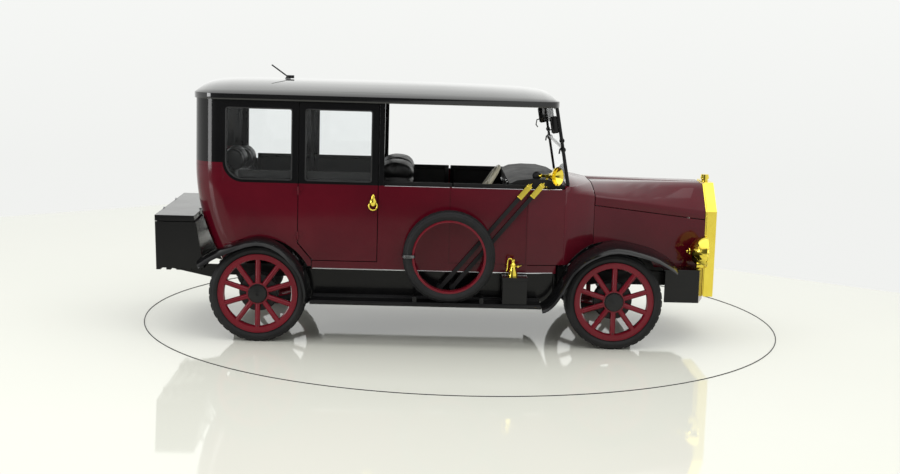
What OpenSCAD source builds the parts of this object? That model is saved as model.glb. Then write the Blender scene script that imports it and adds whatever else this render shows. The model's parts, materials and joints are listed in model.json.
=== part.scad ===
// Closed limousine in the manner of the 1920s, on modern low-profile tyres.
// +X points forward, +Y to the left, +Z up. The origin is on the ground under the middle of the car.
// Pieces of a side are drawn on the right (-Y) and mirrored for the left.

/* [Running gear] */
// Distance between the axles
wheelbase = 2670; // [2600:10:2740]
// Distance from the body's rear face to the rear axle
rear_axle_l = 505; // [495:1:515]
// How far the middle of each road wheel stands outside the body's side
wheel_stand = 10; // [5:1:20]
// Outside diameter of a tyre
tyre_d = 730; // [715:5:740]
// Width of a tyre
tyre_w = 220; // [205:5:225]
// Outside diameter of a wheel's rim
rim_d = 598; // [580:2:610]
// Inside diameter of a rim's front ring
rim_ring_d = 497; // [480:1:510]
// Diameter of a wheel's hub
hub_d = 166; // [150:2:190]
// Diameter of a hub cap
hubcap_d = 145; // [120:1:150]
// Number of spokes in a wheel
spoke_n = 10; // [8:1:12]
// Diameter of a spoke
spoke_d = 40; // [34:1:44]
// Diameter of a stub axle
stub_d = 44; // [36:2:50]
// Diameter of a kingpin
kingpin_d = 28; // [22:2:32]
// Distance from a kingpin out to the tyre's middle
kingpin_offset = 50; // [46:1:56]

/* [Body] */
// Rear face of the body
tail_x = -1865; // [-1880:1:-1855]
// Length of the rear quarter, up to the rear door
quarter_l = 788; // [780:1:800]
// Length of a rear door
rear_door_l = 598; // [580:1:620]
// Length of the fixed panel between the doors
middle_panel_l = 541; // [520:1:560]
// Length of a front door
front_door_l = 585; // [560:1:600]
// Length of the tapering side ahead of the front door
cowl_side_l = 283; // [270:1:300]
// Length of the scuttle
scuttle_l = 235; // [225:1:250]
// Length of the bonnet
bonnet_l = 899; // [880:1:920]
// Half the width over the body's sides
body_half = 720; // [715:1:730]
// How much the body narrows on each side up to the scuttle
cowl_inset = 48; // [40:1:55]
// How much the body narrows on each side up to the bonnet
bonnet_inset = 155; // [140:1:170]
// Thickness of the walls and doors
wall = 45; // [40:1:48]
// Thickness of sheet metal panels
sheet = 12; // [8:1:14]
// Radius of the body's rear corners, seen from above
corner_r = 215; // [205:1:225]
// Radius of the curve by which the rear face tucks under
tuck_r = 1430; // [1400:5:1500]
// Height at which the rear face starts to tuck under
tuck_z = 1300; // [1290:1:1310]
// Height of the rear face's lower edge
tail_bottom_z = 565; // [562:1:600]
// Height of the body's underside at the sills
sill_z = 545; // [540:1:550]
// Height of the doors' lower edge
door_z = 612; // [605:1:625]
// Height of the belt line
belt_z = 1185; // [1170:1:1195]
// Height of the roof's underside
roof_z = 1800; // [1780:1:1820]
// Width of a pillar behind the front opening
pillar_w = 39; // [30:1:60]
// Gap round doors and lids
seam = 6; // [5:0.5:8]

/* [Roof] */
// Height of the roof's crown above its underside
roof_rise = 132; // [110:1:150]
// Height of the roof's edge
roof_edge = 44; // [36:1:50]
// How far the roof stands out past the walls
roof_over = 14; // [8:1:20]
// How far the roof reaches forward of the front door
roof_front_l = 212; // [208:1:216]

/* [Windows] */
// Height of the windows' lower edge above the belt line
window_rise = 26; // [20:1:40]
// Height of the windows
window_h = 530; // [500:1:540]
// Length of a quarter window
quarter_window_l = 490; // [460:1:495]
// Radius of a quarter window's lower rear corner
quarter_window_r = 130; // [80:1:160]
// Width of the frame round a door's window
door_stile = 50; // [40:1:60]
// Half the width of the rear window
back_window_half = 300; // [250:1:380]
// Height of the rear window
back_window_h = 300; // [250:1:340]
// Thickness of the glass
glass_t = 6; // [4:1:8]
// How much narrower than the body the windscreen is on each side
windscreen_inset = 128; // [124:1:140]
// Backward lean of the windscreen, in degrees
windscreen_rake = 10.4; // [9:0.1:10.8]

/* [Bonnet and radiator] */
// Height of the bonnet's top
bonnet_z = 1205; // [1200:1:1215]
// Half the width of the radiator shell
radiator_half = 345; // [335:1:360]
// Depth of the radiator shell
radiator_depth = 86; // [75:1:95]
// Height of the radiator's lower edge
radiator_bottom_z = 333; // [320:1:345]
// Height of the radiator's shoulders
shoulder_z = 1005; // [990:1:1020]
// Width of the radiator shell's face
radiator_band = 52; // [40:1:60]
// Height of the bonnet's crease where the scuttle starts
crease_z = 1125; // [1110:1:1140]
// Depth of a bonnet lid's side below the crease
lid_side_h = 62; // [50:1:80]
// Number of bars across the radiator's grille
grille_n = 17; // [11:2:25]

/* [Wings and running boards] */
// Width of the wings and running boards beside the body
wing_w = 185; // [175:1:190]
// Height of a front wing's top
front_wing_z = 802; // [795:1:810]
// How far a front wing reaches ahead of its axle
front_wing_reach = 483; // [470:1:500]
// Height of a rear wing's top
rear_wing_z = 784; // [778:1:790]
// How far a rear wing reaches behind its axle
rear_wing_reach = 458; // [440:1:475]
// How far a rear wing reaches ahead of its axle
rear_wing_front = 392; // [390:1:400]
// Thickness of a wing
wing_t = 10; // [8:1:12]
// Depth of a wing's rolled outer edge
wing_lip = 46; // [40:1:55]
// Height of the running boards' top
board_z = 335; // [325:1:345]
// Thickness of the running boards
board_t = 26; // [22:1:32]
// How far inside the body's side the apron under the sill stands
apron_inset = 120; // [110:1:130]
// How far the running boards reach ahead of the front door
board_ahead = 113; // [103:1:123]

/* [Trunk] */
// Length of the trunk's top
trunk_l = 300; // [290:1:310]
// How far the trunk's front stands ahead of the body's rear face
trunk_ahead = 15; // [9:1:19]
// Half the width of the trunk
trunk_half = 690; // [670:1:700]
// Height of the trunk's floor
trunk_z = 520; // [515:1:530]
// Height of the trunk's top
trunk_top_z = 920; // [910:1:928]
// Height of the trunk's lid
trunk_lid_h = 44; // [36:1:56]
// Thickness of the trunk's walls
trunk_wall = 12; // [9:1:16]

/* [Fittings] */
// Outside diameter of the spare tyre
spare_d = 690; // [670:2:700]
// Width of the spare tyre
spare_w = 118; // [100:1:124]
// Radial thickness of the spare tyre
spare_t = 68; // [60:1:76]
// Middle of the spare wheel, ahead of the front door's rear edge
spare_ahead = 0; // [-12:1:13]
// Diameter of a headlamp
headlamp_d = 244; // [220:2:250]
// Depth of a headlamp
headlamp_l = 125; // [110:1:140]
// Diameter of the horn's mouth
horn_d = 138; // [120:2:150]
// Diameter of the steering wheel
steering_d = 380; // [360:5:400]
// Tip of the aerial above the ground
aerial_tip_z = 2042; // [2020:1:2060]

/* [Hidden] */
$fn = 48;

// Shared clearances and overruns
fit = 0.3;
pin_fit = 0.05;
over = 4;
flush = 0.5;

// Places along the car
rear_x = tail_x + rear_axle_l;
front_x = rear_x + wheelbase;
axle_z = tyre_d / 2;
wheel_y = body_half + wheel_stand;
hinge_x = tail_x + quarter_l;
pillar_x = hinge_x + rear_door_l;
front_door_x = pillar_x + middle_panel_l;
cowl_x = front_door_x + front_door_l;
scuttle_x = cowl_x + cowl_side_l;
bonnet_x = scuttle_x + scuttle_l;
radiator_x = bonnet_x + bonnet_l;
nose_x = radiator_x + radiator_depth;
roof_front_x = cowl_x + roof_front_l;
wing_half = body_half + wing_w;
cowl_half = body_half - cowl_inset;
apron_half = body_half - apron_inset;
bonnet_half = body_half - bonnet_inset;
windscreen_half = body_half - windscreen_inset;
board_front_x = cowl_x + board_ahead;
trunk_front_x = tail_x + trunk_ahead;
trunk_rear_x = trunk_front_x - trunk_l;
spare_x = front_door_x + spare_ahead;
// Columns: place along the car, half the body's width there
body_plan = [[cowl_x, body_half], [scuttle_x, cowl_half], [bonnet_x, bonnet_half],
    [radiator_x, radiator_half]];
function half_at(x) = lookup(x, body_plan);

// Chassis
rail_half = 390;
rail_w = 60;
floor_t = 20;
floor_z = sill_z + floor_t / 2;
rail_top = floor_z - floor_t;
rail_h = 105;
rail_z = rail_top - rail_h;
cross_w = 60;
cross_h = 80;
rail_inset = 165;
rail_rear_x = tail_x + rail_inset;
rail_front_x = radiator_x - rail_w;
// Cross members, as shares of the chassis rails' length
cross_shares = [0.012, 0.21, 0.45, 0.68, 0.815, 0.975];
tow_eye_r = 16;
tow_plate_l = 90;
tow_plate_w = 120;
tow_plate_t = 14;
// Distances of the jacking pads from the rear and the front axle
jack_rear_l = 560;
jack_front_l = 610;
jack_xs = [rear_x + jack_rear_l, front_x - jack_front_l];
jack_pad_l = 80;
jack_pad_w = 50;
jack_pad_t = 8;

// Running gear
rim_t = 14;
rim_face_w = 30;
rim_inset = 10;
hub_in = 25;
spoke_inset = 30;
arch_gap = 48;
arch_r = tyre_d / 2 + arch_gap;
steer_arch_gap = 60;
steer_arch_r = tyre_d / 2 + steer_arch_gap;
kingpin_y = wheel_y - kingpin_offset;
kingpin_h = 190;
fork_t = 24;
fork_r = 26;
beam_w = 64;
beam_h = 62;
backing_r = 150;
backing_t = 8;
axle_tube_r = 40;
diff_r = 118;
hub_face_y = wheel_y + tyre_w / 2 - rim_inset;
stub_back = 30;
stub_end_y = hub_face_y - stub_back;

// Hinges
barrel_r = 7.5;
barrel_l = 30;
barrel_pin_r = 5;
leaf_l = 34;
leaf_t = 6;
barrel_out = 8;

// Arc of points round a centre, from one angle to another
function arc(c, r, from, to, steps) =
    [for (i = [0:steps]) let (a = from + (to - from) * i / steps) [c[0] + r * cos(a), c[1] + r * sin(a)]];

// Rectangle with its own radius at each corner: lower left, lower right, upper right, upper left
corner_steps = 6;
function round_box(lo, hi, r) = concat(
    arc([lo[0] + r[0], lo[1] + r[0]], r[0], 180, 270, corner_steps),
    arc([hi[0] - r[1], lo[1] + r[1]], r[1], 270, 360, corner_steps),
    arc([hi[0] - r[2], hi[1] - r[2]], r[2], 0, 90, corner_steps),
    arc([lo[0] + r[3], hi[1] - r[3]], r[3], 90, 180, corner_steps));

// Smooth curve through the points of a table, with some steps between each pair
function blend(a, b, c, d, t) =
    (b * 2 + (c - a) * t + (a * 2 - b * 5 + c * 4 - d) * t * t + (b * 3 - a - c * 3 + d) * t * t * t) / 2;
function curve(p, steps) = concat(
    [for (k = [0:len(p) - 2], i = [0:steps - 1])
        blend(p[max(k - 1, 0)], p[k], p[k + 1], p[min(k + 2, len(p) - 1)], i / steps)],
    [p[len(p) - 1]]);

// Closed skin over a row of rings; each ring runs out along its skin and back along its underside
module loft(rings) {
    n = len(rings[0]);
    last = (len(rings) - 1) * n;
    sides = [for (j = [0:len(rings) - 2], i = [0:n - 1])
        let (a = j * n + i, b = j * n + (i + 1) % n) each [[a, b + n, a + n], [a, b, b + n]]];
    ends = [for (i = [0:n / 2 - 2]) let (a = n - 2 - i, b = n - 1 - i) each [
        [i, a, i + 1], [i, b, a], [last + i, last + i + 1, last + a], [last + i, last + a, last + b]]];
    polyhedron([for (r = rings) each r], concat(sides, ends), convexity = 8);
}

// Flat outline in X and Z, as a plate from one Y to a higher one
module plate(y, t) {
    translate([0, y + t, 0]) rotate([90, 0, 0]) linear_extrude(t) children();
}

// Turned shape about an axis along Y, with its profile in radius and Y
module turned() {
    rotate([-90, 0, 0]) rotate_extrude($fn = 96) children();
}

// A rod between two points
module rod(p, q, r) {
    v = q - p;
    l = norm(v);
    translate(p) rotate([0, acos(v[2] / l), atan2(v[1], v[0])]) cylinder(h = l, r = r);
}

// Draws on the right side for -1 and mirrored on the left for 1
module on_side(s) {
    if (s > 0) mirror([0, 1, 0]) children();
    else children();
}

module both_sides() {
    for (s = [-1, 1]) on_side(s) children();
}

// Hinge barrel on the fixed side, its axis along Z, its leaf on the face towards -X
module hinge_eye() {
    difference() {
        union() {
            cylinder(r = barrel_r, h = barrel_l);
            translate([-leaf_l, barrel_out - leaf_t, 0]) cube([leaf_l, leaf_t, barrel_l]);
        }
        translate([0, 0, -over]) cylinder(r = barrel_pin_r + pin_fit, h = barrel_l + over * 2);
    }
}

// Hinge barrel and pin on the moving side, standing on the eye, its leaf towards +X
module hinge_pin() {
    translate([0, 0, barrel_l + fit]) {
        cylinder(r = barrel_r, h = barrel_l);
        translate([0, barrel_out - leaf_t, 0]) cube([leaf_l, leaf_t, barrel_l]);
    }
    translate([0, 0, fit]) cylinder(r = barrel_pin_r, h = barrel_l * 2);
}

// Chassis
module tow_plate(x) {
    translate([x, 0, rail_z - tow_plate_t]) difference() {
        translate([-tow_plate_l / 2, -tow_plate_w / 2, 0]) cube([tow_plate_l, tow_plate_w, tow_plate_t]);
        translate([0, 0, -over]) cylinder(r = tow_eye_r, h = tow_plate_t + over * 2);
    }
}

tow_front_x = along_rail(cross_shares[5]) + tow_plate_t - tow_plate_l / 2;
tow_rear_x = along_rail(cross_shares[0]) + cross_w + tow_plate_l / 2 - tow_plate_t;
function along_rail(t) = rail_rear_x + (rail_front_x - rail_rear_x) * t;

module chassis_frame() {
    color("dimgray") {
        both_sides() translate([rail_rear_x, -rail_half - rail_w / 2, rail_z])
            cube([rail_front_x - rail_rear_x, rail_w, rail_h]);
        both_sides() for (x = jack_xs)
            translate([x - jack_pad_l / 2, -rail_half - jack_pad_w / 2, rail_z - jack_pad_t])
                cube([jack_pad_l, jack_pad_w, jack_pad_t]);
    }
}

module cross_members() {
    half = rail_half - rail_w / 2 - pin_fit;
    color("dimgray") for (t = cross_shares) translate([along_rail(t), -half, rail_z])
        cube([cross_w, half * 2, cross_h]);
}

module tow_plates() {
    color("dimgray") {
        tow_plate(tow_rear_x);
        tow_plate(tow_front_x);
    }
}

// Floor, narrow between the rear wheels and ahead of the front doors
well_gap = 22;
well_half = wheel_y - tyre_w / 2 - well_gap;
toe_half = 430;
toe_gap = 10;
toe_x = front_x - steer_arch_r - toe_gap;
toe_back = 45;
toe_board_x = bonnet_x - toe_back;
module floor_pan() {
    color("dimgray") {
        translate([0, 0, floor_z - floor_t]) linear_extrude(floor_t) polygon([
            [tail_x + corner_r, -well_half], [rear_x + arch_r, -well_half],
            [rear_x + arch_r, -body_half + wall], [toe_x, -cowl_half + wall], [toe_x, -toe_half],
            [toe_board_x + sheet, -toe_half], [toe_board_x + sheet, toe_half], [toe_x, toe_half],
            [toe_x, cowl_half - wall], [rear_x + arch_r, body_half - wall],
            [rear_x + arch_r, well_half], [tail_x + corner_r, well_half]]);
        translate([toe_board_x, -toe_half, floor_z - flush])
            cube([sheet, toe_half * 2, crease_z - sheet * 2 - floor_z]);
    }
}

engine_share = 0.712;
engine_l = bonnet_l * engine_share;
engine_w = 460;
engine_h = 470;
engine_back = 95;
engine_x = bonnet_x + engine_back;
module engine_block() {
    color("gray") translate([engine_x, -engine_w / 2, rail_z + cross_h]) cube([engine_l, engine_w, engine_h]);
}

// Front axle: a beam with a fork at each end that holds the kingpin
fork_z = kingpin_h / 2 - fork_t;
fork_reach = 66;
fork_in_y = kingpin_y - fork_reach;
pad_l = 110;
module front_axle() {
    color("dimgray") difference() {
        union() {
            translate([front_x - beam_w / 2, -fork_in_y, axle_z - beam_h / 2])
                cube([beam_w, fork_in_y * 2, beam_h]);
            both_sides() {
                translate([front_x - pad_l / 2, -rail_half - rail_w / 2, axle_z])
                    cube([pad_l, rail_w, rail_z - axle_z]);
                translate([front_x - beam_w / 2, -fork_in_y, axle_z - kingpin_h / 2])
                    cube([beam_w, beam_h / 2, kingpin_h]);
                for (z = [-kingpin_h / 2, fork_z]) translate([front_x, 0, axle_z + z]) {
                    translate([0, -kingpin_y, 0]) cylinder(r = fork_r, h = fork_t);
                    translate([-fork_r, -kingpin_y, 0]) cube([fork_r * 2, kingpin_y - fork_in_y, fork_t]);
                }
            }
        }
        both_sides() translate([front_x, -kingpin_y, axle_z - kingpin_h / 2 - over])
            cylinder(r = kingpin_d / 2 + pin_fit, h = kingpin_h + over * 2);
    }
}

// Backing plate and stub axle that carry a wheel, on the right
module stub(from_y) {
    translate([0, -stub_end_y, 0]) rotate([-90, 0, 0]) cylinder(d = stub_d, h = stub_end_y - from_y);
    translate([0, -kingpin_y - fork_r - backing_t * 2, 0]) rotate([-90, 0, 0])
        cylinder(r = backing_r, h = backing_t);
}

module knuckle(s) {
    color("dimgray") on_side(s) translate([front_x, 0, axle_z]) {
        stub(kingpin_y);
        translate([0, -kingpin_y, -kingpin_h / 2]) cylinder(d = kingpin_d, h = kingpin_h);
        translate([0, -kingpin_y, -fork_z + fit]) cylinder(r = fork_r, h = fork_z * 2 - fit * 2);
    }
}

module rear_axle() {
    color("dimgray") {
        translate([rear_x, -kingpin_y, axle_z]) rotate([-90, 0, 0])
            cylinder(r = axle_tube_r, h = kingpin_y * 2);
        translate([rear_x, 0, axle_z]) sphere(r = diff_r);
        both_sides() {
            translate([rear_x, 0, axle_z]) stub(kingpin_y - fork_r);
            translate([rear_x - pad_l / 2, -rail_half - rail_w / 2, axle_z])
                cube([pad_l, rail_w, rail_z - axle_z]);
        }
    }
}

// Wheels: rim, ten round spokes, hub and cap
rim_lip = 8;
cap_h = 16;
module wheel(x, s) {
    rim_in = wheel_y - tyre_w / 2 + rim_inset;
    rim_out = wheel_y + tyre_w / 2 - rim_inset;
    r = rim_d / 2;
    color("darkred") on_side(s) translate([x, 0, axle_z]) difference() {
        union() {
            turned() polygon([
                [r - rim_t, -rim_in], [r - rim_t, -rim_out + rim_face_w],
                [rim_ring_d / 2, -rim_out + rim_face_w],
                [rim_ring_d / 2 + rim_lip, -rim_out], [r - fit, -rim_out], [r - fit, -rim_in]]);
            turned() polygon([
                [0, -hub_face_y + stub_d * 1.5], [hub_d / 3, -hub_face_y + stub_d * 1.5],
                [hub_d / 2, -hub_face_y + hub_in * 1.5], [hub_d / 2, -hub_face_y],
                [hubcap_d / 2, -hub_face_y], [hubcap_d / 2 - rim_lip, -hub_face_y - cap_h],
                [0, -hub_face_y - cap_h * 1.25]]);
            for (i = [0:spoke_n - 1]) translate([0, -hub_face_y + spoke_inset - spoke_d / 4, 0])
                rotate([0, 360 / spoke_n * i, 0]) translate([0, 0, hub_d / 3])
                    cylinder(d = spoke_d, h = rim_ring_d / 2 + rim_lip - hub_d / 3);
        }
        translate([0, -stub_end_y - fit, 0]) rotate([-90, 0, 0])
            cylinder(r = stub_d / 2 + pin_fit, h = stub_end_y);
    }
}

// Cross-section of a tyre: radius and Y, with round shoulders
shoulder_r = 34;
module tyre_profile(r_in, r_out, w) {
    polygon(concat([[r_in, -w / 2 + shoulder_r / 2]],
        arc([r_out - shoulder_r, -w / 2 + shoulder_r], shoulder_r, 270, 360, corner_steps),
        arc([r_out - shoulder_r, w / 2 - shoulder_r], shoulder_r, 0, 90, corner_steps),
        [[r_in, w / 2 - shoulder_r / 2]]));
}

module tyre(x, s) {
    color("black") on_side(s) translate([x, -wheel_y, axle_z]) turned()
        tyre_profile(rim_d / 2, tyre_d / 2, tyre_w);
}

// Radiator outline, with an inset for its opening
radiator_top_half = 140;
function radiator_outline(inset) = let (h = radiator_half - inset, t = radiator_top_half - inset / 3) [
    [-h, radiator_bottom_z + inset], [h, radiator_bottom_z + inset], [h, shoulder_z - inset / 3],
    [t, bonnet_z + sheet / 2 - inset], [-t, bonnet_z + sheet / 2 - inset], [-h, shoulder_z - inset / 3]];

module across(x, t) {
    translate([x, 0, 0]) rotate([90, 0, 90]) linear_extrude(t) children();
}

neck_r = 26;
neck_h = 18;
cap_r = 36;
filler_h = 34;
shell_step = 10;
module radiator_shell() {
    color("goldenrod") {
        across(radiator_x + shell_step, radiator_depth - shell_step) difference() {
            polygon(radiator_outline(0));
            polygon(radiator_outline(radiator_band));
        }
        across(radiator_x, radiator_depth / 2) difference() {
            polygon(radiator_outline(shell_step));
            polygon(radiator_outline(radiator_band - shell_step));
        }
        translate([radiator_x + radiator_depth / 2, 0, bonnet_z - sheet]) {
            cylinder(r = neck_r, h = neck_h + sheet * 1.5);
            translate([0, 0, neck_h + sheet * 1.5]) cylinder(r1 = cap_r, r2 = cap_r * 0.8, h = filler_h);
        }
    }
}

core_t = 26;
bar_w = 9;
module radiator_grille() {
    depth = radiator_depth / 2;
    edge = radiator_band + fit;
    pitch = (radiator_half - edge) * 2 / (grille_n + 1);
    color("dimgray") {
        across(radiator_x + shell_step, core_t) polygon(radiator_outline(edge));
        intersection() {
            across(radiator_x + shell_step, depth) polygon(radiator_outline(edge));
            for (i = [1:grille_n]) translate([radiator_x + shell_step,
                -radiator_half + edge + pitch * i - bar_w / 2, 0])
                cube([depth, bar_w, bonnet_z]);
        }
    }
}

// Bonnet: side panels in a tapering plane, and two lids on a rod along the top
crease_front_z = shoulder_z;
taper_angle = atan((bonnet_half - radiator_half) / bonnet_l);
side_bottom_z = 575;
bonnet_arch_r = front_wing_z - axle_z - wing_t * 1.5;
module bonnet_sides() {
    slant = bonnet_l / cos(taper_angle);
    drop = lid_side_h + seam;
    color("maroon") both_sides() translate([bonnet_x, -bonnet_half, 0]) rotate([0, 0, taper_angle])
        difference() {
            plate(0, sheet) polygon([
                [seam / 2, side_bottom_z], [slant - flush, side_bottom_z],
                [slant - flush, crease_front_z - drop],
                [seam / 2, crease_z - drop]]);
            translate([(front_x - bonnet_x) / cos(taper_angle), -over, axle_z]) rotate([-90, 0, 0])
                cylinder(r = bonnet_arch_r, h = sheet + over * 2, $fn = 96);
        }
}

hinge_rod_r = 6.5;
lid_z = bonnet_z - sheet / 2;
module bonnet_hinge() {
    color("goldenrod") translate([bonnet_x + fit, 0, lid_z]) rotate([0, 90, 0])
        cylinder(r = hinge_rod_r, h = bonnet_l - fit * 2);
}

// Crowned run between two points of a section, without its ends
slope_steps = 4;
slope_bulge_share = 0.035;
function slope(a, b) = let (out = [a[1] - b[1], b[0] - a[0]] * slope_bulge_share * 4)
    [for (i = [1:slope_steps - 1]) let (u = i / slope_steps) a + (b - a) * u + out * u * (1 - u)];
function turned_round(v) = [for (i = [len(v) - 1:-1:0]) v[i]];

// Section of the bonnet's right half at one place: half width, crease height, half width of the flat top
function lid_section(x, half, crease, top) = let (
    edge = hinge_rod_r + flush,
    skin = [[top, bonnet_z], [half - sheet, crease + sheet]],
    under = [[top - sheet / 2, bonnet_z - sheet], [half - sheet * 2, crease]],
    outer = concat([[edge, lid_z + flush], [hinge_rod_r * 2, bonnet_z], skin[0]], slope(skin[0], skin[1]),
        [skin[1], [half, crease], [half, crease - lid_side_h]]),
    inner = concat([[half - sheet, crease - lid_side_h], [half - sheet, crease - sheet / 3], under[1]],
        turned_round(slope(under[0], under[1])), [under[0], [hinge_rod_r * 2, bonnet_z - sheet],
            [edge, lid_z - flush]]))
    [for (p = concat(outer, inner)) [x, -p[0], p[1]]];

bonnet_top_half = 200;
lid_steps = 8;
module bonnet_lid(s) {
    color("maroon") on_side(s) loft([for (i = [lid_steps:-1:0]) let (
            x = bonnet_x + seam + (bonnet_l - seam * 2) * i / lid_steps,
            u = (x - bonnet_x) / bonnet_l)
        lid_section(x, bonnet_half + (radiator_half - bonnet_half) * u,
            crease_z + (crease_front_z - crease_z) * u,
            bonnet_top_half + (radiator_top_half - bonnet_top_half) * u)]);
}

// Scuttle: a shell over the legs, from the cowl sides to the bonnet
// Columns: share of the scuttle's length, share of the way from cowl to bonnet width,
// share of the flat top kept
scuttle_shares = [[0, 0, 1], [0.24, 0.18, 1], [0.62, 0.55, 0.55], [1, 1, 0]];
scuttle_steps = 4;
cowl_crease_z = 1160;
cowl_rim = 14;
cowl_top_half = windscreen_half + cowl_rim;
function arch_z(x) = axle_z + sqrt(max(0, steer_arch_r * steer_arch_r - (x - front_x) * (x - front_x)));
function scuttle_ring(x, half, crease, top, low) = let (
    skin = [[top, bonnet_z], [half - sheet, crease + sheet]],
    under = [[top - sheet / 2, bonnet_z - sheet], [half - sheet * 2, crease]],
    outer = concat([[half, low], [half, crease], skin[1]], turned_round(slope(skin[0], skin[1])), [skin[0]]),
    inner = concat([under[0]], slope(under[0], under[1]),
        [under[1], [half - sheet, crease - sheet / 2], [half - sheet, low]]))
    concat([for (p = outer) [x, -p[0], p[1]]], [for (p = turned_round(outer)) [x, p[0], p[1]]],
        [for (p = turned_round(inner)) [x, p[0], p[1]]], [for (p = inner) [x, -p[0], p[1]]]);

module scuttle() {
    color("maroon") loft([for (t = curve(scuttle_shares, scuttle_steps))
        let (x = scuttle_x + flush + (scuttle_l - flush) * t[0])
        scuttle_ring(x, cowl_half + (bonnet_half - cowl_half) * t[1],
            cowl_crease_z + (crease_z - cowl_crease_z) * t[0],
            bonnet_top_half + (cowl_top_half - bonnet_top_half) * t[2], max(door_z, arch_z(x)))]);
}

// Front valance: the black lower panels beside and behind the radiator
valance_l = 342;
valance_x = radiator_x - valance_l;
valance_half = 548;
valance_z = 318;
valance_chamfer = 64;
valance_top_z = side_bottom_z - flush;
module valance_plan(inset) {
    polygon([[valance_x, -half_at(valance_x) + inset], [valance_x, -valance_half + inset],
        [radiator_x - valance_chamfer, -valance_half + inset],
        [radiator_x - flush - inset, -radiator_half - sheet + inset],
        [radiator_x - flush - inset, -radiator_half + sheet * 2],
        [valance_x, -half_at(valance_x) + sheet * 3]]);
}

module front_valance() {
    color("black") both_sides() {
        translate([0, 0, valance_top_z - sheet]) linear_extrude(sheet) valance_plan(0);
        translate([0, 0, valance_z]) linear_extrude(valance_top_z - valance_z - sheet) polygon([
            [valance_x + sheet, -valance_half], [radiator_x - valance_chamfer, -valance_half],
            [radiator_x - flush, -radiator_half - sheet], [radiator_x - flush, -radiator_half + sheet],
            [radiator_x - valance_chamfer, -valance_half + sheet],
            [valance_x + sheet, -valance_half + sheet]]);
    }
}

// Headlamps: turned bells on posts that stand on the valance
lamp_back = 18;
lamp_x = radiator_x - lamp_back;
lamp_y = 492;
lamp_z = 712;
lamp_back_r = 34;
lamp_bezel = 12;
post_r = 14;
side_lamp_r = 25;
// Columns: share of the lamp's depth behind its rim, share of its radius
bell_shares = [[0, 1], [0.1, 1], [0.2, 0.98], [0.4, 0.91], [0.6, 0.78], [0.78, 0.6], [0.92, 0.4], [1, 0.2]];
module lamp_axis() {
    translate([lamp_x, -lamp_y, lamp_z]) rotate([0, -90, 0]) children();
}

module headlamps() {
    r = headlamp_d / 2;
    color("goldenrod") both_sides() {
        lamp_axis() rotate_extrude($fn = 72) polygon(concat([[0, lamp_bezel * 2]],
            [[r - lamp_bezel, lamp_bezel * 2], [r - lamp_bezel, 0]],
            [for (p = bell_shares) [r * p[1], headlamp_l * p[0]]], [[0, headlamp_l]]));
        translate([lamp_x - headlamp_l * 0.4, -lamp_y, valance_top_z])
            cylinder(r = post_r, h = lamp_z - r * 0.7 - valance_top_z);
        translate([lamp_x - headlamp_l * 0.4, -lamp_y - post_r * 3.4, valance_top_z + side_lamp_r * 1.7])
            rotate([0, 90, 0]) cylinder(r = side_lamp_r, h = side_lamp_r * 2, center = true);
        translate([lamp_x - headlamp_l * 0.4, -lamp_y - post_r * 2, valance_top_z + side_lamp_r * 1.7])
            rotate([90, 0, 0]) cylinder(r = post_r / 2, h = post_r * 4, center = true);
    }
}

module headlamp_lenses() {
    r = headlamp_d / 2 - lamp_bezel - fit;
    color("lightgray") both_sides() lamp_axis() rotate_extrude($fn = 72)
        polygon([[0, lamp_bezel * 2 - fit], [r, lamp_bezel * 2 - fit], [r, lamp_bezel],
            [r * 0.6, lamp_bezel / 4], [0, 0]]);
}

// Wings: a crowned section swept along a curve in the car's side view
// Columns: share of the wing's width, share of the lip's depth
wing_section_shares = [[0, 0], [0.36, 0.02], [0.66, 0.13], [0.86, 0.4], [0.97, 0.8], [1, 1]];
// Columns: share of the reach ahead (positive) or behind (negative), share of the height above the board
front_wing_shares = [[1, 0.66], [0.86, 0.755], [0.58, 0.885], [0.02, 1], [-0.37, 0.86], [-0.63, 0.6],
    [-0.775, 0.29],
    [-0.87, 0.11], [-0.95, 0.02], [-1, 0]];
rear_wing_shares = [[-1, 0.6], [-0.84, 0.7], [-0.55, 0.84], [-0.04, 1], [0.45, 0.885], [0.84, 0.55],
    [0.985, 0.23], [1, 0]];
wing_steps = 3;
board_rear_x = rear_x + rear_wing_front;
front_wing_path = curve([for (p = front_wing_shares) [
    front_x + p[0] * (p[0] > 0 ? front_wing_reach : front_x - board_front_x - flush),
    board_z - wing_t + p[1] * (front_wing_z - board_z)]], wing_steps);
rear_wing_path = curve([for (p = rear_wing_shares) [
    rear_x + p[0] * (p[0] > 0 ? rear_wing_front - flush : rear_wing_reach),
    board_z - board_t + p[1] * (rear_wing_z - board_z + board_t)]], wing_steps);

// One ring of a wing at a point of its path: inner edge at y_in, outward normal n
function wing_ring(p, n, y_in) = let (
    w = wing_half - y_in,
    skin = [for (c = wing_section_shares) [y_in + w * c[0], -wing_lip * c[1]]],
    under = [for (c = wing_section_shares) [y_in + (w - wing_t) * c[0],
        -wing_lip * c[1] - wing_t * (1 - c[0])]])
    concat([for (q = skin) [p[0] + n[0] * q[1], -q[0], p[1] + n[1] * q[1]]],
        [for (i = [len(under) - 1:-1:0]) [p[0] + n[0] * under[i][1], -under[i][0],
            p[1] + n[1] * under[i][1]]]);

function path_normal(path, i) = let (
    d = path[min(i + 1, len(path) - 1)] - path[max(i - 1, 0)])
    [-d[1], d[0]] / norm(d);

module front_wings() {
    n = len(front_wing_path);
    color("black") both_sides() loft([for (i = [0:n - 1]) let (
            p = front_wing_path[i],
            up = -path_normal(front_wing_path, i))
        wing_ring(p, up, max(half_at(p[0]), half_at(p[0] - up[0] * wing_t)) + flush)]);
}

module rear_wings() {
    n = len(rear_wing_path);
    color("black") both_sides() loft([for (i = [n - 1:-1:0]) let (p = rear_wing_path[i])
        wing_ring(p, path_normal(rear_wing_path, i), body_half + flush)]);
}

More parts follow.
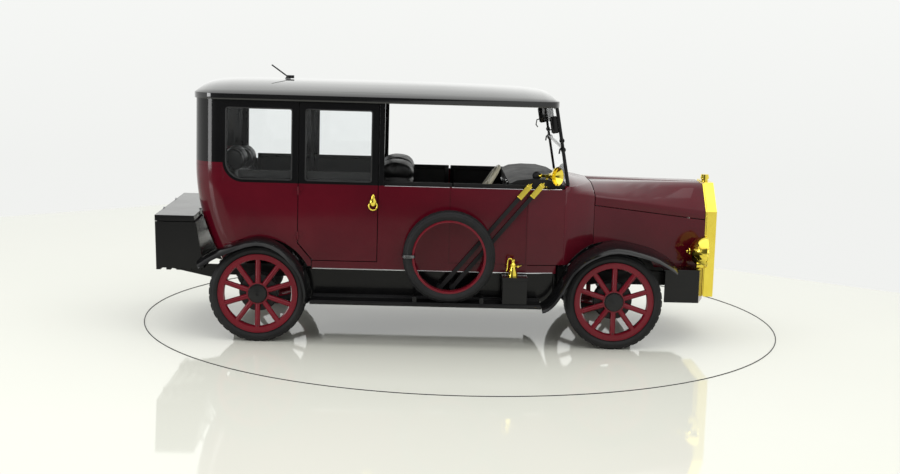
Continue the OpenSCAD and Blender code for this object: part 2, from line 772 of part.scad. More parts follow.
// Running boards, each with an apron up to the floor and the spare wheel's two feet on the right
apron_t = 12;
apron_back = 50;
apron_ahead = 105;
foot_w = 30;
foot_h = 46;
foot_x = 250;
module running_boards() {
    color("black") {
        both_sides() {
            translate([board_rear_x, -wing_half, board_z - board_t])
                cube([board_front_x - board_rear_x, wing_half - apron_half, board_t]);
            translate([board_rear_x - apron_back, -apron_half - apron_t, board_z - board_t])
                cube([board_front_x - board_rear_x + apron_back + apron_ahead, apron_t,
                    floor_z - floor_t - board_z + board_t]);
        }
        for (x = [spare_x - foot_x, spare_x + foot_x])
            translate([x - foot_w / 2, -spare_y - spare_w / 2, board_z - flush])
                cube([foot_w, spare_w, foot_h]);
    }
}

// Side wall outlines, in X and Z
wall_y = body_half - wall;
split_rise = 10;
split_z = belt_z + split_rise;
corner_x = tail_x + corner_r;
strip = 12;
cut_z = 735;
cut_low_x = board_rear_x;

// Lower rear body: flat sides, and a rear wall whose round corners tuck under
tuck_angle = asin((tuck_z - tail_bottom_z) / tuck_r);
module tuck_sweep() {
    translate([tail_x + tuck_r, 0, tuck_z]) rotate([90, 0, 0])
        rotate_extrude(angle = tuck_angle, start = 180, $fn = 96) children();
}

module corner_profile() {
    intersection() {
        difference() {
            circle(r = corner_r);
            circle(r = corner_r - wall);
        }
        square(corner_r + over);
    }
}

module rear_side_outline() {
    intersection() {
        polygon([[tail_x, tail_bottom_z], [cut_low_x - seam, tail_bottom_z], [cut_low_x - seam, door_z],
            [hinge_x - seam / 2, cut_z], [hinge_x - seam / 2, split_z], [corner_x + strip, split_z],
            [corner_x + strip, tuck_z], [tail_x, tuck_z]]);
        translate([tail_x + tuck_r, tuck_z]) circle(r = tuck_r - corner_r + flush, $fn = 96);
    }
}

module rear_arch() {
    translate([rear_x, -body_half - over, axle_z]) rotate([-90, 0, 0])
        cylinder(r = arch_r, h = body_half + over - well_half, $fn = 96);
}

module rear_body() {
    color("maroon") {
        both_sides() {
            difference() {
                union() {
                    plate(-body_half, wall) rear_side_outline();
                    tuck_sweep() translate([tuck_r - corner_r, body_half - corner_r]) corner_profile();
                }
                rear_arch();
            }
            for (z = [cut_z + barrel_l, split_z - barrel_l * 3])
                translate([hinge_x, -body_half - barrel_out, z]) hinge_eye();
        }
        tuck_sweep() translate([tuck_r - wall, -body_half + corner_r])
            square([wall, (body_half - corner_r) * 2]);
    }
}

// Window walls above the belt, and the pillars behind the front opening
window_z = belt_z + window_rise;
window_top_z = window_z + window_h;
window_r = 18;
quarter_window_x = hinge_x - door_stile - quarter_window_l;
function quarter_window(inset) = round_box([quarter_window_x + inset, window_z + inset],
    [hinge_x - door_stile - inset, window_top_z - inset],
    [quarter_window_r, window_r, window_r, window_r]);
back_window_rise = 85;
back_window_z = tuck_z + back_window_rise;
back_window_r = 60;
function back_window(inset) = round_box([-back_window_half + inset, back_window_z + inset],
    [back_window_half - inset, back_window_z + back_window_h - inset],
    [back_window_r, back_window_r, back_window_r, back_window_r]);

module upper_body() {
    color("black") {
        both_sides() {
            plate(-body_half, wall) difference() {
                polygon([[corner_x, tuck_z], [corner_x + strip, tuck_z], [corner_x + strip, split_z],
                    [hinge_x - seam / 2, split_z], [hinge_x - seam / 2, roof_z], [corner_x, roof_z]]);
                polygon(quarter_window(0));
            }
            translate([corner_x, -body_half + corner_r, tuck_z]) linear_extrude(roof_z - tuck_z)
                rotate(180) corner_profile();
            translate([pillar_x + seam / 2, -body_half, belt_z])
                cube([pillar_w, wall, roof_z - belt_z]);
        }
        difference() {
            translate([tail_x, -body_half + corner_r, tuck_z])
                cube([wall, (body_half - corner_r) * 2, roof_z - tuck_z]);
            across(tail_x - over, wall + over * 2) polygon(back_window(0));
        }
    }
}

module glazing() {
    y = body_half - wall / 2 - glass_t / 2;
    color("lightblue") {
        both_sides() plate(-y - glass_t, glass_t) polygon(quarter_window(fit));
        across(tail_x + wall / 2, glass_t) polygon(back_window(fit));
        windscreen_place() for (p = windscreen_panes)
            translate([-glass_t / 2, -windscreen_half + post_w + fit, p[0] + fit])
                cube([glass_t, (windscreen_half - post_w - fit) * 2, p[1] - p[0] - fit * 2]);
    }
}

// Fixed lower sides between the doors, with the sills; the right front door is only a groove
groove = 5;
module cowl_side() {
    translate([0, 0, door_z]) linear_extrude(belt_z - door_z) polygon([
        [cowl_x + seam / 2, -body_half], [scuttle_x, -cowl_half], [scuttle_x, -cowl_half + wall],
        [cowl_x + seam / 2, -body_half + wall]]);
}

module sill() {
    translate([0, 0, sill_z]) linear_extrude(door_z - seam - sill_z) polygon([
        [board_rear_x, -body_half], [cowl_x, -body_half], [toe_x, -half_at(toe_x)],
        [toe_x, -half_at(toe_x) + wall - fit],
        [cowl_x, -body_half + wall - fit], [board_rear_x, -body_half + wall - fit]]);
}

module groove_at(x, z) {
    translate([x - groove / 2, -body_half - over, z]) cube([groove, groove + over, belt_z]);
}

module side_panels() {
    low = door_z - seam - over;
    color("maroon") {
        both_sides() {
            sill();
            translate([pillar_x + seam / 2, -body_half, low])
                cube([middle_panel_l - seam, wall, belt_z - low]);
            cowl_side();
            translate([cowl_x + seam / 2, -body_half, low]) cube([seam, wall, door_z - low + over]);
        }
        difference() {
            translate([front_door_x - seam, -body_half, low])
                cube([front_door_l + seam * 2, wall, belt_z - low]);
            groove_at(front_door_x, door_z);
            groove_at(cowl_x - groove, door_z);
            translate([front_door_x, -body_half - over, door_z]) cube([front_door_l, groove + over, groove]);
        }
        for (z = [door_z + barrel_l * 2, belt_z - barrel_l * 4]) on_side(1)
            translate([cowl_x, -body_half - barrel_out, z]) mirror([1, 0, 0]) hinge_eye();
    }
}

// Doors
ring_r = 31;
ring_t = 6;
ring_boss_r = 19;
ring_out = 24;
ring_back = 36;
ring_drop = 152;
ring_x = pillar_x - ring_back;
ring_z = belt_z - ring_drop;
module ring_handle() {
    translate([ring_x, -body_half - ring_out / 2 - ring_t / 2, ring_z]) {
        rotate([90, 0, 0]) rotate_extrude() translate([ring_r, 0]) circle(r = ring_t);
        translate([0, ring_out / 2 + ring_t / 2 + over, ring_r]) rotate([90, 0, 0])
            cylinder(r = ring_boss_r, h = ring_out + over);
    }
}

function door_window(inset) = round_box(
    [hinge_x + seam / 2 + door_stile + inset, window_z + inset],
    [pillar_x - seam / 2 - door_stile - inset, window_top_z - inset],
    [window_r, window_r, window_r, window_r]);

module rear_door(s) {
    color("maroon") on_side(s) {
        plate(-body_half, wall) difference() {
            polygon([[hinge_x + seam / 2, cut_z + seam], [cut_low_x + seam, door_z],
                [pillar_x - seam / 2, door_z],
                [pillar_x - seam / 2, roof_z - seam], [hinge_x + seam / 2, roof_z - seam]]);
            polygon(door_window(0));
        }
        ring_handle();
        for (z = [cut_z + barrel_l, split_z - barrel_l * 3])
            translate([hinge_x, -body_half - barrel_out, z]) hinge_pin();
    }
}

module door_glass(s) {
    color("lightblue") on_side(s) plate(-body_half + wall / 2 - glass_t / 2, glass_t)
        polygon(door_window(fit));
}

module front_door_left() {
    color("maroon") on_side(1) {
        translate([front_door_x + seam / 2, -body_half, door_z])
            cube([front_door_l - seam, wall, belt_z - door_z]);
        for (z = [door_z + barrel_l * 2, belt_z - barrel_l * 4])
            translate([cowl_x, -body_half - barrel_out, z]) mirror([1, 0, 0]) hinge_pin();
    }
}

// Roof: a crowned shell, round at the rear and with a low lip in front
// Columns: share of the roof's length from the rear, share of the crown's height
roof_shares = [[0, 0.06], [0.003, 0.28], [0.009, 0.46], [0.02, 0.63], [0.037, 0.77], [0.06, 0.87],
    [0.1, 0.94],
    [0.18, 0.98], [0.3, 1], [0.5, 1], [0.68, 0.96], [0.82, 0.89], [0.91, 0.79], [0.96, 0.65],
    [0.985, 0.45], [1, 0.1]];
roof_across = 16;
roof_power = 2.8;
roof_front_r = 90;
roof_rear_x = tail_x - roof_over;
// Half the roof's width at a distance from its rear or front end
function roof_round(d, r) = d >= r ? 0 : r - sqrt(r * r - (r - d) * (r - d));
function roof_top_at(x) = roof_z + roof_edge
    + (roof_rise - roof_edge) * lookup((x - roof_rear_x) / (roof_front_x - roof_rear_x), roof_shares);
function roof_ring(x, crown) = let (
    l = roof_front_x - roof_rear_x,
    half = body_half + roof_over - roof_round(max(x - roof_rear_x, flush * 2), corner_r + roof_over)
        - roof_round(max(roof_front_x - x, flush * 2), roof_front_r),
    rise = (roof_rise - roof_edge) * crown,
    hollow = max(roof_edge / 3, roof_edge + rise - wall),
    inner = min(half - roof_over, wall_y) - sheet)
    concat(
        [[x, -half, roof_z]],
        [for (i = [0:roof_across]) let (s = -1 + i * 2 / roof_across)
            [x, half * s, roof_z + roof_edge + rise * (1 - pow(abs(s), roof_power))]],
        [[x, half, roof_z]],
        [for (i = [roof_across:-1:0]) let (s = -1 + i * 2 / roof_across)
            [x, inner * s, roof_z + hollow * (1 - pow(abs(s), roof_power))]]);

module roof() {
    color("black") loft([for (t = roof_shares)
        roof_ring(roof_rear_x + (roof_front_x - roof_rear_x) * t[0], t[1])]);
}

aerial_back = 150;
aerial_x = hinge_x - aerial_back;
aerial_lean = 127;
aerial_r = 5.5;
aerial_base_r = 24;
aerial_base_h = 16;
aerial_foot_l = 62;
aerial_foot_r = 12;
module aerial() {
    top = roof_top_at(aerial_x + aerial_base_r) + fit;
    color("black") {
        translate([aerial_x, 0, top]) cylinder(r1 = aerial_base_r, r2 = aerial_base_r / 2, h = aerial_base_h);
        translate([aerial_x - aerial_foot_r, 0, top + aerial_base_h]) rotate([0, 90, 0])
            cylinder(r = aerial_foot_r, h = aerial_foot_l);
        rod([aerial_x, 0, top + aerial_base_h], [aerial_x - aerial_lean, 0, aerial_tip_z - aerial_r],
            aerial_r);
    }
}

// Windscreen: a leaning frame with a cross bar between two panes
post_w = 28;
post_t = 26;
bar_h = 18;
windscreen_foot = post_t / 2 * sin(windscreen_rake) + fit;
windscreen_ahead = 26;
windscreen_x = scuttle_x + windscreen_ahead;
windscreen_h = (roof_z - bonnet_z - windscreen_foot * 2) / cos(windscreen_rake);
bar_share = 0.47;
windscreen_panes = [[bar_h, windscreen_h * bar_share],
    [windscreen_h * bar_share + bar_h, windscreen_h - bar_h]];
module windscreen_place() {
    translate([windscreen_x, 0, bonnet_z + windscreen_foot]) rotate([0, -windscreen_rake, 0]) children();
}

module windscreen_frame() {
    color("black") windscreen_place() difference() {
        translate([-post_t / 2, -windscreen_half, 0]) cube([post_t, windscreen_half * 2, windscreen_h]);
        for (p = windscreen_panes)
            translate([-post_t, -windscreen_half + post_w, p[0]])
                cube([post_t * 2, (windscreen_half - post_w) * 2, p[1] - p[0]]);
    }
}

// Dashboard with the steering column, right-hand drive
dash_l = 420;
dash_gap = 27;
dash_half = cowl_half - wall - dash_gap;
dash_drop = 200;
// Columns: share of the dashboard's length from its front, share of its height above the bonnet's top
dash_top_shares = [[0, 0], [0.1, 0.5], [0.32, 0.95], [0.62, 1], [0.86, 0.75], [1, 0.2]];
dash_rise = 48;
// A front seat's half width and middle, as shares of half the cabin's width
seat_half_share = 0.35556;
seat_place_share = 0.48889;
seat_half = wall_y * seat_half_share;
seat_y = wall_y * seat_place_share;
steering_y = seat_y;
steering_back = 302;
steering_x = cowl_x - steering_back;
steering_z = 1166;
column_angle = 32.5;
column_r = 24;
column_l = 700;
spindle_r = 10;
spindle_l = 46;
module column_axis() {
    translate([steering_x, -steering_y, steering_z]) rotate([0, 90 + column_angle, 0]) children();
}

module dashboard() {
    color("black") difference() {
        plate(-dash_half, dash_half * 2) polygon(concat(
            [[scuttle_x, bonnet_z - dash_drop]],
            [for (t = dash_top_shares) [scuttle_x - dash_l * t[0], bonnet_z - flush + dash_rise * t[1]]],
            [[scuttle_x - dash_l, bonnet_z - dash_drop / 2],
                [scuttle_x - dash_l * 0.8, bonnet_z - dash_drop]]));
        column_axis() translate([0, 0, spindle_l]) cylinder(r = column_r + fit, h = column_l);
    }
}

module steering_column() {
    color("black") column_axis() {
        translate([0, 0, spindle_l]) cylinder(r = column_r, h = column_l - spindle_l);
        cylinder(r = spindle_r, h = spindle_l + over);
    }
}

steering_tube_r = 14;
steering_spoke_w = 30;
steering_hub_r = 40;
steering_hub_h = 30;
module steering_wheel() {
    color("beige") column_axis() difference() {
        union() {
            rotate_extrude($fn = 72) translate([steering_d / 2 - steering_tube_r, 0])
                circle(r = steering_tube_r, $fn = 24);
            translate([0, 0, -steering_hub_h / 2]) cylinder(r = steering_hub_r, h = steering_hub_h);
            for (i = [0:3]) rotate([0, 0, 90 * i + 45])
                translate([0, -steering_spoke_w / 2, -steering_tube_r / 2])
                    cube([steering_d / 2 - steering_tube_r, steering_spoke_w, steering_tube_r]);
        }
        translate([0, 0, -fit]) cylinder(r = spindle_r + pin_fit, h = steering_hub_h);
    }
}

// Seats: one solid each, from a side outline
// Columns: share of the seat's length forward of its back, share of its height above the floor
front_seat_shares = [[0, 0], [0.82, 0], [0.86, 0.2], [1, 0.24], [1, 0.36], [0.42, 0.34], [0.2, 0.68],
    [0.3, 0.71],
    [0.31, 0.81], [0.26, 0.9], [0.18, 0.935], [-0.06, 0.935], [-0.13, 0.88], [-0.16, 0.76], [0, 0.68]];
front_seat_l = 640;
front_seat_h = 828;
front_seat_ahead = 79;
front_seat_x = pillar_x + front_seat_ahead;
module seat(x, shares, l, h, half) {
    translate([x, 0, floor_z]) plate(-half, half * 2) polygon([for (p = shares) [p[0] * l, p[1] * h]]);
}

module front_seats() {
    color("black") both_sides() translate([0, -seat_y, 0])
        seat(front_seat_x, front_seat_shares, front_seat_l, front_seat_h, seat_half);
}

rear_seat_shares = [[0.225, 0], [0.92, 0], [1, 0.34], [0.96, 0.42], [0.4, 0.38], [0.22, 0.8],
    [0.27, 0.86], [0.22, 1],
    [0.04, 1], [0.02, 0.7], [0.06, 0.3]];
rear_seat_l = 690;
rear_seat_h = 865;
rear_seat_ahead = 135;
rear_seat_x = tail_x + rear_seat_ahead;
seat_gap = 15;
rear_seat_half = min(well_half, wall_y) - seat_gap;
module rear_seat() {
    color("black") seat(rear_seat_x, rear_seat_shares, rear_seat_l, rear_seat_h, rear_seat_half);
}

// Spare wheel, standing on the right running board
lever_gap = 12;
lever_t = 12;
lever_pitch = 95;
lever_rise = 10;
spare_y = body_half + lever_gap * 2 + lever_t * 2 + spare_w / 2;
spare_z = board_z + spare_d / 2 + fit;
module spare_place() {
    translate([spare_x, -spare_y, spare_z]) turned() children();
}

module spare_tyre() {
    color("black") spare_place() tyre_profile(spare_d / 2 - spare_t, spare_d / 2, spare_w);
}

spare_rim_t = 16;
module spare_rim() {
    r = spare_d / 2 - spare_t - fit;
    color("darkred") spare_place() polygon([
        [r - spare_rim_t, -spare_w / 2 + shoulder_r / 2], [r, -spare_w / 2 + shoulder_r / 2],
        [r, spare_w / 2 - shoulder_r / 2], [r - spare_rim_t, spare_w / 2 - shoulder_r / 2]]);
}

// Hand levers: two flat bars beside the body, each with a brass grip
lever_back = 62;
lever_x = front_door_x - lever_back;
lever_z = 422;
lever_l = 905;
lever_w = 30;
lever_angle = 50.5;
grip_l = 128;
grip_t = 28;
grip_w = 40;
pivot_r = 22;
module lever(i) {
    y = -body_half - lever_gap - lever_t;
    translate([lever_x + lever_pitch * i, 0, lever_z + lever_rise * i]) {
        translate([0, y, 0]) rotate([0, -lever_angle, 0]) {
            translate([0, 0, -lever_w / 2]) cube([lever_l, lever_t, lever_w]);
            translate([lever_l, lever_t / 2 - grip_t / 2, -grip_w / 2]) cube([grip_l, grip_t, grip_w]);
        }
        translate([0, y, 0]) rotate([-90, 0, 0]) cylinder(r = pivot_r,
            h = body_half + lever_gap + lever_t - apron_half - apron_t - fit);
    }
}

module hand_levers() {
    color("black") for (i = [0, 1]) lever(i);
}

box_ahead = 405;
box_x = front_door_x + box_ahead;
box_l = 182;
box_h = 206;
box_w = 150;
box_out = 20;
box_lid_h = 24;
module tool_box() {
    color("black") translate([box_x, -wing_half + box_out, board_z]) {
        cube([box_l, box_w, box_h - box_lid_h]);
        translate([-box_lid_h / 6, -box_lid_h / 6, box_h - box_lid_h])
            cube([box_l + box_lid_h / 3, box_w + box_lid_h / 3, box_lid_h]);
    }
}

gas_r = 36;
gas_h = 146;
// Columns: share of the generator's radius, share of its height
gas_shares = [[0, 0], [1.15, 0], [1.15, 0.06], [0.75, 0.3], [0.72, 0.34], [0.86, 0.36], [0.86, 0.74],
    [0.6, 0.82], [0.28, 0.86],
    [0.28, 0.95], [0.16, 1], [0, 1]];
tap_r = 6;
module gas_generator() {
    color("goldenrod") translate([box_x + box_l * 0.42, -wing_half + box_out + box_w / 2, board_z + box_h]) {
        rotate_extrude() polygon([for (p = gas_shares) [p[0] * gas_r, p[1] * gas_h]]);
        translate([0, 0, gas_h * 0.55]) rotate([0, 90, 0]) cylinder(r = tap_r, h = gas_r * 1.9);
        translate([gas_r * 1.7, 0, gas_h * 0.55]) rotate([0, 90, 0])
            cylinder(r = tap_r * 2.2, h = tap_r * 1.5);
        translate([0, 0, gas_h * 0.42]) rotate([0, -90, 0]) cylinder(r = tap_r, h = gas_r * 1.5);
        translate([-gas_r * 1.5, 0, gas_h * 0.42 - tap_r]) cylinder(r = tap_r, h = gas_h * 0.3);
    }
}

horn_l = 150;
horn_back = 15;
horn_gap = 8;
horn_x = scuttle_x - horn_back;
horn_y = body_half + lever_gap + lever_t / 2 - grip_t / 2 - horn_d / 2 - horn_gap;
horn_z = 1280;
bulb_r = 34;
// Columns: share of the horn's length back from its mouth, share of its mouth's radius
horn_shares = [[0, 1], [0.03, 1], [0.12, 0.74], [0.28, 0.48], [0.5, 0.3], [0.75, 0.2], [1, 0.16]];
module horn() {
    foot_x = horn_x - horn_l * 0.62;
    foot_y = half_at(foot_x) - wall / 2;
    color("goldenrod") {
        translate([horn_x, -horn_y, horn_z]) rotate([0, -90, 0]) rotate_extrude($fn = 60)
            polygon(concat([[0, horn_l * 0.3]],
            [[horn_d / 2 * 0.36, horn_l * 0.3], [horn_d / 2 * 0.62, horn_l * 0.13], [horn_d / 2 * 0.94, 0]],
            [for (p = horn_shares) [horn_d / 2 * p[1], horn_l * p[0]]], [[0, horn_l]]));
        translate([horn_x - horn_l - bulb_r * 0.8, -horn_y, horn_z]) sphere(r = bulb_r);
        rod([foot_x, -horn_y, horn_z], [foot_x, -foot_y, belt_z + tap_r * 1.5], tap_r);
        translate([foot_x, -foot_y, belt_z]) cylinder(r = tap_r * 2, h = tap_r * 2.5);
    }
}

// Trunk with a lid hinged on the side of the body, on a slatted rack
trunk_low_rear = 12;
trunk_low_front = 70;
lid_low_z = trunk_top_z - trunk_lid_h;
function trunk_x(z, front) = let (u = (trunk_top_z - z) / (trunk_top_z - trunk_z))
    front ? trunk_front_x + trunk_low_front * u : trunk_rear_x + trunk_low_rear * u;
trunk_hinge_x = trunk_front_x + leaf_t * 1.5;
trunk_hinge_z = trunk_top_z + barrel_out;
trunk_hinge_half = 330;
module trunk_hinge_place() {
    for (y = [-trunk_hinge_half, trunk_hinge_half])
        translate([trunk_hinge_x, y, trunk_hinge_z]) rotate([-90, 0, 0]) children();
}

module trunk_case() {
    z1 = lid_low_z - seam;
    color("black") {
        difference() {
            plate(-trunk_half, trunk_half * 2) polygon([[trunk_x(trunk_z, false), trunk_z],
                [trunk_x(trunk_z, true), trunk_z],
                [trunk_x(z1, true), z1], [trunk_x(z1, false), z1]]);
            plate(-trunk_half + trunk_wall, (trunk_half - trunk_wall) * 2) polygon([
                [trunk_x(trunk_z, false) + trunk_wall, trunk_z + trunk_wall],
                [trunk_x(trunk_z, true) - trunk_wall, trunk_z + trunk_wall],
                [trunk_x(z1, true) - trunk_wall, z1 + over], [trunk_x(z1, false) + trunk_wall, z1 + over]]);
        }
        trunk_hinge_place() difference() {
            union() {
                cylinder(r = barrel_r, h = barrel_l);
                translate([-barrel_r, 0, 0]) cube([leaf_t, trunk_hinge_z - z1 + leaf_l, barrel_l]);
            }
            translate([0, 0, -over]) cylinder(r = barrel_pin_r + pin_fit, h = barrel_l + over * 2);
        }
    }
}

module trunk_lid() {
    x0 = trunk_rear_x;
    x1 = trunk_front_x - seam;
    color("black") {
        difference() {
            translate([x0, -trunk_half, lid_low_z]) cube([x1 - x0, trunk_half * 2, trunk_lid_h]);
            translate([x0 + trunk_wall, -trunk_half + trunk_wall, lid_low_z - over])
                cube([x1 - x0 - trunk_wall * 2, (trunk_half - trunk_wall) * 2,
                    trunk_lid_h - trunk_wall + over]);
        }
        trunk_hinge_place() {
            translate([0, 0, barrel_l + fit]) {
                cylinder(r = barrel_r, h = barrel_l);
                translate([-leaf_l, barrel_out - leaf_t, 0]) cube([leaf_l, leaf_t, barrel_l]);
            }
            translate([0, 0, fit]) cylinder(r = barrel_pin_r, h = barrel_l * 2);
        }
    }
}

slat_n = 5;
slat_w = 34;
slat_t = 14;
rack_t = 16;
rack_low_z = 391;
rack_tip_h = 38;
module rack_side() {
    polygon([[trunk_rear_x + trunk_low_rear, trunk_z - slat_t],
        [trunk_rear_x + trunk_low_rear, trunk_z - rack_tip_h],
        [rail_rear_x, rack_low_z], [rail_rear_x + cross_w, rack_low_z], [rail_rear_x + cross_w, rail_z - fit],
        [rail_rear_x - fit, rail_z - fit], [rail_rear_x - fit, trunk_z - slat_t]]);
}

module trunk_rack() {
    run = rail_rear_x - cross_w - trunk_rear_x - trunk_low_rear;
    color("black") {
        both_sides() plate(-rail_half - rack_t / 2, rack_t) rack_side();
        for (i = [0:slat_n - 1])
            translate([trunk_rear_x + trunk_low_rear + run * i / slat_n, -trunk_half,
                trunk_z - slat_t - flush])
                cube([slat_w, trunk_half * 2, slat_t + flush]);
    }
}

chassis_frame();
cross_members();
tow_plates();
floor_pan();
engine_block();
front_axle();
rear_axle();
radiator_shell();
radiator_grille();
bonnet_sides();
bonnet_hinge();
scuttle();
front_valance();
headlamps();
headlamp_lenses();
front_wings();
rear_wings();
running_boards();
rear_body();
upper_body();
side_panels();
roof();
aerial();
windscreen_frame();
glazing();
dashboard();
steering_column();
front_seats();
rear_seat();
spare_tyre();
spare_rim();
hand_levers();
tool_box();
gas_generator();
horn();
trunk_case();
trunk_rack();
trunk_lid();
bonnet_lid(1);  // bonnet_lid_left
bonnet_lid(-1);  // bonnet_lid_right
front_door_left();
rear_door(1);  // rear_door_left
rear_door(-1);  // rear_door_right
door_glass(1);  // door_glass_left
door_glass(-1);  // door_glass_right
steering_wheel();
knuckle(1);  // knuckle_left
knuckle(-1);  // knuckle_right
wheel(front_x, 1);  // wheel_front_left
wheel(front_x, -1);  // wheel_front_right
wheel(rear_x, 1);  // wheel_rear_left
wheel(rear_x, -1);  // wheel_rear_right
tyre(front_x, 1);  // tyre_front_left
tyre(front_x, -1);  // tyre_front_right
tyre(rear_x, 1);  // tyre_rear_left
tyre(rear_x, -1);  // tyre_rear_right
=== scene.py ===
"""Looks of a closed limousine in the manner of the 1920s: paint, brass, leather, tyres and fittings."""
import json
import math

import bpy
from mathutils import Matrix, Vector

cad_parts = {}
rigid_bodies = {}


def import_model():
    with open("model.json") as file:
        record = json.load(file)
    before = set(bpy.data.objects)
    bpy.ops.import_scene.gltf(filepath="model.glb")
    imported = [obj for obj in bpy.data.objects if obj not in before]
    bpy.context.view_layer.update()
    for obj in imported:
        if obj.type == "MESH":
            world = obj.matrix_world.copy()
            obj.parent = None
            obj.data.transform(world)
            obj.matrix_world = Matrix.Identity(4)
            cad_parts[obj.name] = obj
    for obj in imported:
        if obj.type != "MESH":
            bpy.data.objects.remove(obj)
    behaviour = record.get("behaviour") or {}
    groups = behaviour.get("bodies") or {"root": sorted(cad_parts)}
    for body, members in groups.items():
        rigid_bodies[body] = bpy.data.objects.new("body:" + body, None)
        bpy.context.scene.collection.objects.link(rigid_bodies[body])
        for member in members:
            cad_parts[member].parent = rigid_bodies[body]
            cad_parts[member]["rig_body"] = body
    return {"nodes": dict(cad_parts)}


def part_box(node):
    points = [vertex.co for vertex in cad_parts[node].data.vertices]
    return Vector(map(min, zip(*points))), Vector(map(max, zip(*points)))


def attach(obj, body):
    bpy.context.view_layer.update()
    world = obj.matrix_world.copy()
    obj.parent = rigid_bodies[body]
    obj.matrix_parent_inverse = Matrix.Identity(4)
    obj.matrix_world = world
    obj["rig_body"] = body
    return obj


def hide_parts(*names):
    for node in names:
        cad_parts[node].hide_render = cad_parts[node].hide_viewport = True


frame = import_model()
nodes = frame["nodes"]
scene = bpy.context.scene
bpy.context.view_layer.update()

# Sides of the car: name and sign of Y
SIDES = (("right", -1), ("left", 1))

# Places read from the solids, in metres
tyre_low, tyre_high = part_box("tyre_front_right")
axle_z = (tyre_low.z + tyre_high.z) / 2
tyre_r = (tyre_high.z - tyre_low.z) / 2
tyre_w = tyre_high.y - tyre_low.y
wheel_y = -(tyre_low.y + tyre_high.y) / 2
front_x = (tyre_low.x + tyre_high.x) / 2
rear_low, rear_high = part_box("tyre_rear_right")
rear_x = (rear_low.x + rear_high.x) / 2
body_half = 0.72
belt_z = 1.185


# Camera
def set_camera():
    """Camera at the photograph's place, as fitted to the wheels and the floor."""
    place = Vector((-0.1855, -11.5981, 2.4496))
    yaw, pitch, roll = (math.radians(a) for a in (1.3339, 8.5585, 1.6371))
    ahead = Vector((math.sin(yaw) * math.cos(pitch), math.cos(yaw) * math.cos(pitch), -math.sin(pitch)))
    right = Vector((math.cos(yaw), -math.sin(yaw), 0))
    down = ahead.cross(right)
    right_rolled = right * math.cos(roll) - down * math.sin(roll)
    down_rolled = down * math.cos(roll) + right * math.sin(roll)
    turn = Matrix((right_rolled, -down_rolled, -ahead)).transposed()
    bpy.ops.object.camera_add()
    camera = bpy.context.object
    camera.matrix_world = Matrix.Translation(place) @ turn.to_4x4()
    camera.data.lens = 58.54
    camera.data.sensor_width = 36
    scene.camera = camera
    scene.view_settings.view_transform = "Standard"


# Finishes
class Tree:
    """A node tree with short calls that add and join its nodes."""

    def __init__(self, tree):
        self.tree = tree

    def add(self, kind, **settings):
        node = self.tree.nodes.new(kind)
        for key, value in settings.items():
            setattr(node, key, value)
        return node

    def feed(self, socket, value):
        if isinstance(value, bpy.types.NodeSocket):
            self.tree.links.new(value, socket)
        else:
            socket.default_value = value

    def math(self, operation, a, b=0.0):
        node = self.add("ShaderNodeMath", operation=operation)
        self.feed(node.inputs[0], a)
        self.feed(node.inputs[1], b)
        return node.outputs[0]

    def mix(self, share, a, b):
        node = self.add("ShaderNodeMix", data_type="RGBA")
        self.feed(node.inputs[0], share)
        self.feed(node.inputs[6], a)
        self.feed(node.inputs[7], b)
        return node.outputs[2]

    def noise(self, vector, scale, detail=3.0, rough=0.55):
        node = self.add("ShaderNodeTexNoise")
        self.feed(node.inputs["Vector"], vector)
        self.feed(node.inputs["Scale"], scale)
        self.feed(node.inputs["Detail"], detail)
        self.feed(node.inputs["Roughness"], rough)
        return node.outputs["Fac"]

    def spread(self, value, low, high, to_low=0.0, to_high=1.0):
        node = self.add("ShaderNodeMapRange")
        for key, number in (("From Min", low), ("From Max", high), ("To Min", to_low), ("To Max", to_high)):
            self.feed(node.inputs[key], number)
        self.feed(node.inputs["Value"], value)
        return node.outputs["Result"]

    def split(self, vector):
        node = self.add("ShaderNodeSeparateXYZ")
        self.feed(node.inputs[0], vector)
        return node.outputs

    def group(self, group, **values):
        node = self.add("ShaderNodeGroup", node_tree=group)
        for key, value in values.items():
            self.feed(node.inputs[key], value)
        return node.outputs

    def bump(self, height, strength, distance):
        node = self.add("ShaderNodeBump")
        self.feed(node.inputs["Height"], height)
        node.inputs["Strength"].default_value = strength
        node.inputs["Distance"].default_value = distance
        return node.outputs["Normal"]


def shared_effect(name, inputs, outputs, build):
    """A shader node group: inputs are (label, kind, value), outputs are labels of value sockets."""
    group = bpy.data.node_groups.new(name, "ShaderNodeTree")
    for label, kind, value in inputs:
        made = group.interface.new_socket(label, in_out="INPUT", socket_type=kind)
        if value is not None:
            made.default_value = value
    for label in outputs:
        group.interface.new_socket(label, in_out="OUTPUT", socket_type="NodeSocketFloat")
    tree = Tree(group)
    start = tree.add("NodeGroupInput")
    end = tree.add("NodeGroupOutput")
    build(tree, start.outputs, end.inputs)
    return group


PLACE_IN = ("Vector", "NodeSocketVector", None)


def build_lacquer_flow(tree, given, out):
    tree.feed(out["Height"], tree.noise(given["Vector"], given["Scale"], 2.0))
    tree.feed(out["Shift"], tree.spread(tree.noise(given["Vector"], 2.4, 4.0), 0.3, 0.7))


def build_road_dust(tree, given, out):
    height = tree.split(given["Vector"])["Z"]
    fade = tree.spread(height, 0.0, given["Top"], 1.0, 0.0)
    patch = tree.spread(tree.noise(given["Vector"], 9.0, 6.0, 0.65), 0.35, 0.75)
    tree.feed(out["Mask"], tree.math("MULTIPLY", tree.math("MULTIPLY", fade, patch), given["Amount"]))


